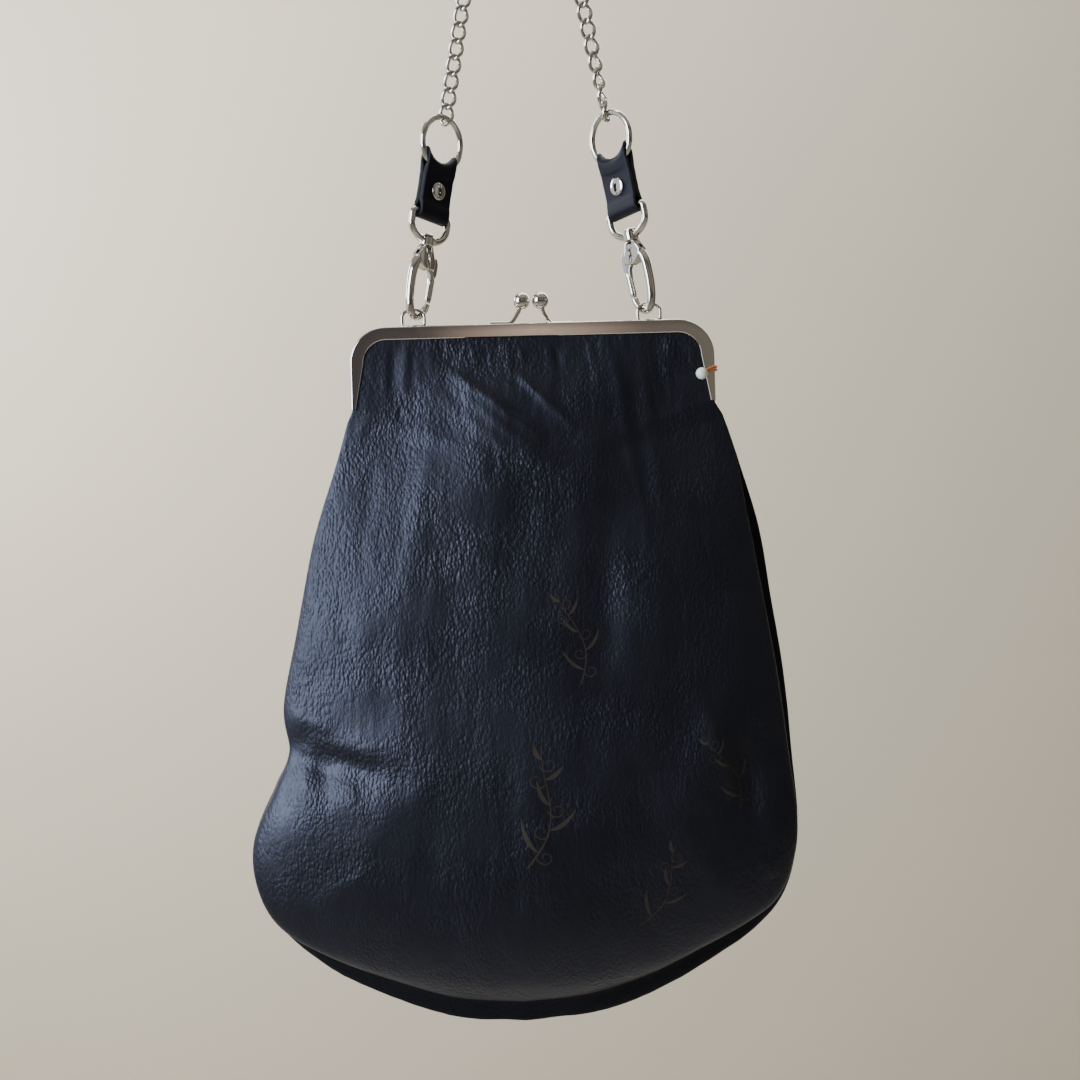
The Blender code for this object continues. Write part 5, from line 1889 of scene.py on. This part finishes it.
@dataclass
class FadedSprigs:
    """Generic leafy sprigs, faintly printed on the front wall."""

    palette: Palette
    lift: float = 0.00012
    stem_sway: float = 6
    stem_bend: float = 4.4
    stem_height: float = 56
    stem_width: tuple[float, float] = (0.42, 0.22)
    roots: tuple[int, ...] = (3, 7, 11, 15, 18)
    leaf_reach: tuple[float, float] = (15, 2)
    leaf_turn: tuple[float, float] = (0.25, 0.9)
    leaf_width: tuple[float, float] = (0.12, 1.15)
    curl_radius: float = 4.2
    curl_turn: tuple[float, float] = (1.1, 2.1)
    curl_width: float = 0.30
    ray_start: float = -0.2
    sprigs: tuple[tuple[float, float, float, float], ...] = (
        (18, -172, 0.9, 8), (-2, -262, 1.15, -14), (98, -246, 0.8, 20), (62, -306, 0.85, -30))

    def strokes(self) -> list[list[tuple[float, float, float]]]:
        """Strokes of one sprig: a wavy stem, curled shoots and pointed leaves, in millimetres.

        Returns:
            Lines of x, z and half width.
        """
        thick, thinning = self.stem_width
        stem = [(self.stem_sway * math.sin(step / 20 * self.stem_bend),
                 self.stem_height * step / 20 - self.stem_height / 2, thick - thinning * step / 20)
                for step in range(21)]
        lines = [stem]
        for index, at in enumerate(self.roots):
            root_x, root_z, _ = stem[at]
            way = 1 if index % 2 else -1
            reach = self.leaf_reach[0] - self.leaf_reach[1] * index
            leaf = []
            for step in range(15):
                share = step / 14
                angle = self.leaf_turn[0] + self.leaf_turn[1] * share
                swell = math.sin(math.pi * share) * (1 - 0.35 * share)
                leaf.append((root_x + way * reach * share * math.cos(angle * 0.6),
                             root_z + reach * share * math.sin(angle),
                             self.leaf_width[0] + self.leaf_width[1] * swell))
            lines.append(leaf)
            curl = []
            for step in range(19):
                share = step / 18
                radius = self.curl_radius * (1 - 0.75 * share)
                angle = math.pi * (self.curl_turn[0] + self.curl_turn[1] * share)
                curl.append((root_x - way * (3.5 + radius * math.cos(angle)),
                             root_z - 1.5 + radius * math.sin(angle) * 0.9,
                             self.curl_width * (1 - 0.5 * share)))
            lines.append(curl)
        return lines

    def build(self, wall: Object) -> None:
        """Lay the sprigs on the wall.

        Args:
            wall: The front wall.
        """
        shape = bmesh.new()
        skin = bmesh.new()
        skin.from_mesh(wall.data)
        tree = BVHTree.FromBMesh(skin)
        for centre_x, centre_z, growth, turn in self.sprigs:
            cosine, sine = math.cos(math.radians(turn)), math.sin(math.radians(turn))
            for line in self.strokes():
                last = None
                for index, (x, z, half) in enumerate(line):
                    before, after = line[max(index - 1, 0)], line[min(index + 1, len(line) - 1)]
                    along = Vector((after[0] - before[0], after[1] - before[1])).normalized()
                    pair = []
                    for way in (-1, 0, 1):
                        flat_x = (x - way * along.y * half) * growth
                        flat_z = (z + way * along.x * half) * growth
                        world_x = (centre_x + flat_x * cosine - flat_z * sine) * MM
                        world_z = FRAME_TOP + (centre_z + flat_x * sine + flat_z * cosine) * MM
                        before_wall = Vector((world_x, self.ray_start, world_z))
                        hit, normal, _, _ = tree.ray_cast(before_wall, Vector((0, 1, 0)))
                        if hit is not None:
                            pair.append(shape.verts.new(hit + normal * self.lift))
                    if len(pair) < 3:
                        last = None
                        continue
                    if last:
                        shape.faces.new((last[0], last[1], pair[1], pair[0]))
                        shape.faces.new((last[1], last[2], pair[2], pair[1]))
                    last = pair
        skin.free()
        mesh = bpy.data.meshes.new("sprigs")
        shape.normal_update()
        if sum(face.normal.y for face in shape.faces) > 0:
            bmesh.ops.reverse_faces(shape, faces=shape.faces)
        shape.to_mesh(mesh)
        shape.free()
        show(mesh, "front_wall_sprigs", self.palette.sprig, "bag", Slot.LEATHER)


class Lamp(NamedTuple):
    """A soft rectangular light."""

    name: str
    place: tuple[float, float, float]
    target: tuple[float, float, float]
    size: tuple[float, float]
    power: float
    colour: Colour


BACKDROP_Y = 2.9
BAG_MIDDLE = (0.0, 0.0, -0.42)
LAMPS = (
    Lamp("window_light", (-1.15, -0.90, -0.12), BAG_MIDDLE, (0.7, 1.1), 29.0, (0.80, 0.90, 1.0)),
    Lamp("top_light", (-0.1, 0.15, 0.75), (0.0, 0.0, -0.3), (0.9, 0.25), 3.5, (1.0, 0.99, 0.97)),
    Lamp("side_light", (1.25, -0.35, -0.2), BAG_MIDDLE, (0.35, 1.0), 0.2, (0.95, 0.97, 1.0)),
    Lamp("back_light", (0.4, 1.4, 0.5), BAG_MIDDLE, (0.9, 0.9), 16.0, (1.0, 0.99, 0.97)),
    Lamp("wall_light", (-2.3, 1.1, 0.6), (-0.9, BACKDROP_Y, -0.1), (1.2, 1.2), 92.0, (1.0, 0.98, 0.94)),
    Lamp("upper_wall_light", (-0.1, 1.3, 2.3), (0.3, BACKDROP_Y, 0.8), (3.2, 0.9), 54.0, (1.0, 0.985, 0.95)),
)


@dataclass
class Studio:
    """Floor, far backdrop, soft lights and the camera."""

    camera_distance: float = 0.75
    lens: float = 45.2
    aim: tuple[float, float] = (0.0016, -0.4200)
    roll: float = math.radians(1.54)
    floor_z: float = -1.95
    stage_width: float = 9.0
    backdrop_height: float = 5.4
    backdrop_z: float = 0.4
    floor_colour: Colour = (0.50, 0.475, 0.43)
    backdrop_colour: Colour = (0.74, 0.677, 0.555)
    room_dim: Colour = (0.075, 0.069, 0.064)
    room_rear: Colour = (0.12, 0.108, 0.092)
    room_window: Colour = (0.85, 0.92, 1.0)
    room_ceiling: Colour = (0.40, 0.375, 0.33)
    band_level: float = 0.13
    band_half: float = 0.20
    band_fade: tuple[float, float] = (0.10, 0.26)
    rear_fade: tuple[float, float] = (-0.75, 0.1)
    window_fade: tuple[float, float] = (-0.55, -0.85)
    ceiling_fade: tuple[float, float] = (0.35, 0.75)
    room_bands: tuple[tuple[float, Colour], ...] = (
        (0.00, (0.085, 0.077, 0.080)), (0.30, (0.105, 0.090, 0.088)), (0.50, (0.76, 0.58, 0.50)),
        (0.70, (0.20, 0.165, 0.145)), (1.00, (0.20, 0.185, 0.155)))

    def plane(self, name: str, width: float, depth: float, matrix: Matrix, colour: Colour) -> None:
        """Add a stage plane.

        Args:
            name: Its name.
            width: Width.
            depth: Depth.
            matrix: Where it stands.
            colour: Its colour.
        """
        mesh = bpy.data.meshes.new(name)
        corners = [(x * width / 2, y * depth / 2, 0) for x, y in ((-1, -1), (1, -1), (1, 1), (-1, 1))]
        mesh.from_pydata(corners, [], [(0, 1, 2, 3)])
        mesh.transform(matrix)
        mesh.materials.append(PlainFinish(f"{name}_paint", colour, 0.02, 0.9, 3.0, 0.2 * MM).make())
        added(name, mesh)

    def light(self, lamp: Lamp) -> None:
        """Add a soft rectangular light.

        Args:
            lamp: What it is like and where it stands.
        """
        data = bpy.data.lights.new(lamp.name, "AREA")
        data.shape = "RECTANGLE"
        data.size, data.size_y = lamp.size
        data.energy = lamp.power
        data.color = lamp.colour
        item = added(lamp.name, data)
        item.location = lamp.place
        item.rotation_euler = (Vector(lamp.target) - Vector(lamp.place)).to_track_quat("-Z", "Y").to_euler()

    def surroundings(self) -> None:
        """Room light: a window glow at the left, a pale ceiling, and a dim room with a warm middle."""
        world = bpy.data.worlds.new("studio_room")
        bpy.context.scene.world = world
        world.use_nodes = True
        graph = Graph(world.node_tree)
        facing = graph.add("ShaderNodeTexCoord").outputs["Generated"]
        parts = graph.add("ShaderNodeSeparateXYZ", {"Vector": facing})
        x, y, z = (parts.outputs[axis] for axis in "XYZ")
        bands = graph.add("ShaderNodeValToRGB", {0: graph.spread(x, -self.band_half, self.band_half)})
        ramp = bands.color_ramp
        for place, colour in self.room_bands[1:-1]:
            ramp.elements.new(place).color = (*colour, 1.0)
        for end in (0, -1):
            ramp.elements[end].color = (*self.room_bands[end][1], 1.0)
        away = graph.math("ABSOLUTE", graph.math("SUBTRACT", z, self.band_level))
        room = graph.blend(graph.spread(away, *self.band_fade, 1.0, 0.0), self.room_dim, bands.outputs[0])
        room = graph.blend(graph.spread(y, *self.rear_fade), room, self.room_rear)
        room = graph.blend(graph.spread(x, *self.window_fade), room, self.room_window)
        room = graph.blend(graph.spread(z, *self.ceiling_fade), room, self.room_ceiling)
        graph.feed(world.node_tree.nodes["Background"], {"Color": room, "Strength": 1.0})

    def build(self) -> None:
        """Set up the stage, the lights and the camera."""
        self.surroundings()
        wide = self.stage_width
        self.plane("floor", wide, wide, Matrix.Translation((0, 0, self.floor_z)), self.floor_colour)
        upright = Matrix.Translation((0, BACKDROP_Y, self.backdrop_z)) @ UPRIGHT
        self.plane("backdrop", wide, self.backdrop_height, upright, self.backdrop_colour)
        for lamp in LAMPS:
            self.light(lamp)
        data = bpy.data.cameras.new("camera")
        data.lens = self.lens
        data.sensor_width = 36.0
        data.clip_start = 0.05
        data.clip_end = 50.0
        camera = added("camera", data)
        x, z = self.aim
        camera.location = (x, -self.camera_distance, z)
        camera.rotation_euler = (math.pi / 2, self.roll, 0)
        bpy.context.scene.camera = camera


def main() -> None:
    """Build the dressed bag."""
    logging.basicConfig(level=logging.INFO, format="%(name)s: %(message)s")
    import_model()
    palette = Palette.build()
    wire = WireRecipe()
    body = LeatherBody(palette)
    front = body.build()
    FrameHalves(palette, wire, body.front).build()
    rigs = (Rig(Side.LEFT), Rig(Side.RIGHT))
    for rig in rigs:
        StrapEnd(rig, palette, wire).build()
        SnapHook(rig, palette, wire).build()
    CurbChain(rigs, palette).build(wire)
    EdgeBead(palette, wire).build()
    FadedSprigs(palette).build(front)
    for node in ("frame_pin_left", "frame_pin_right"):
        pin = bpy.data.objects.get(node)
        if pin:
            pin.material_slots[0].material = palette.nickel
    Studio().build()
    LOG.info("all pieces are in place")


if __name__ == "__main__":
    main()
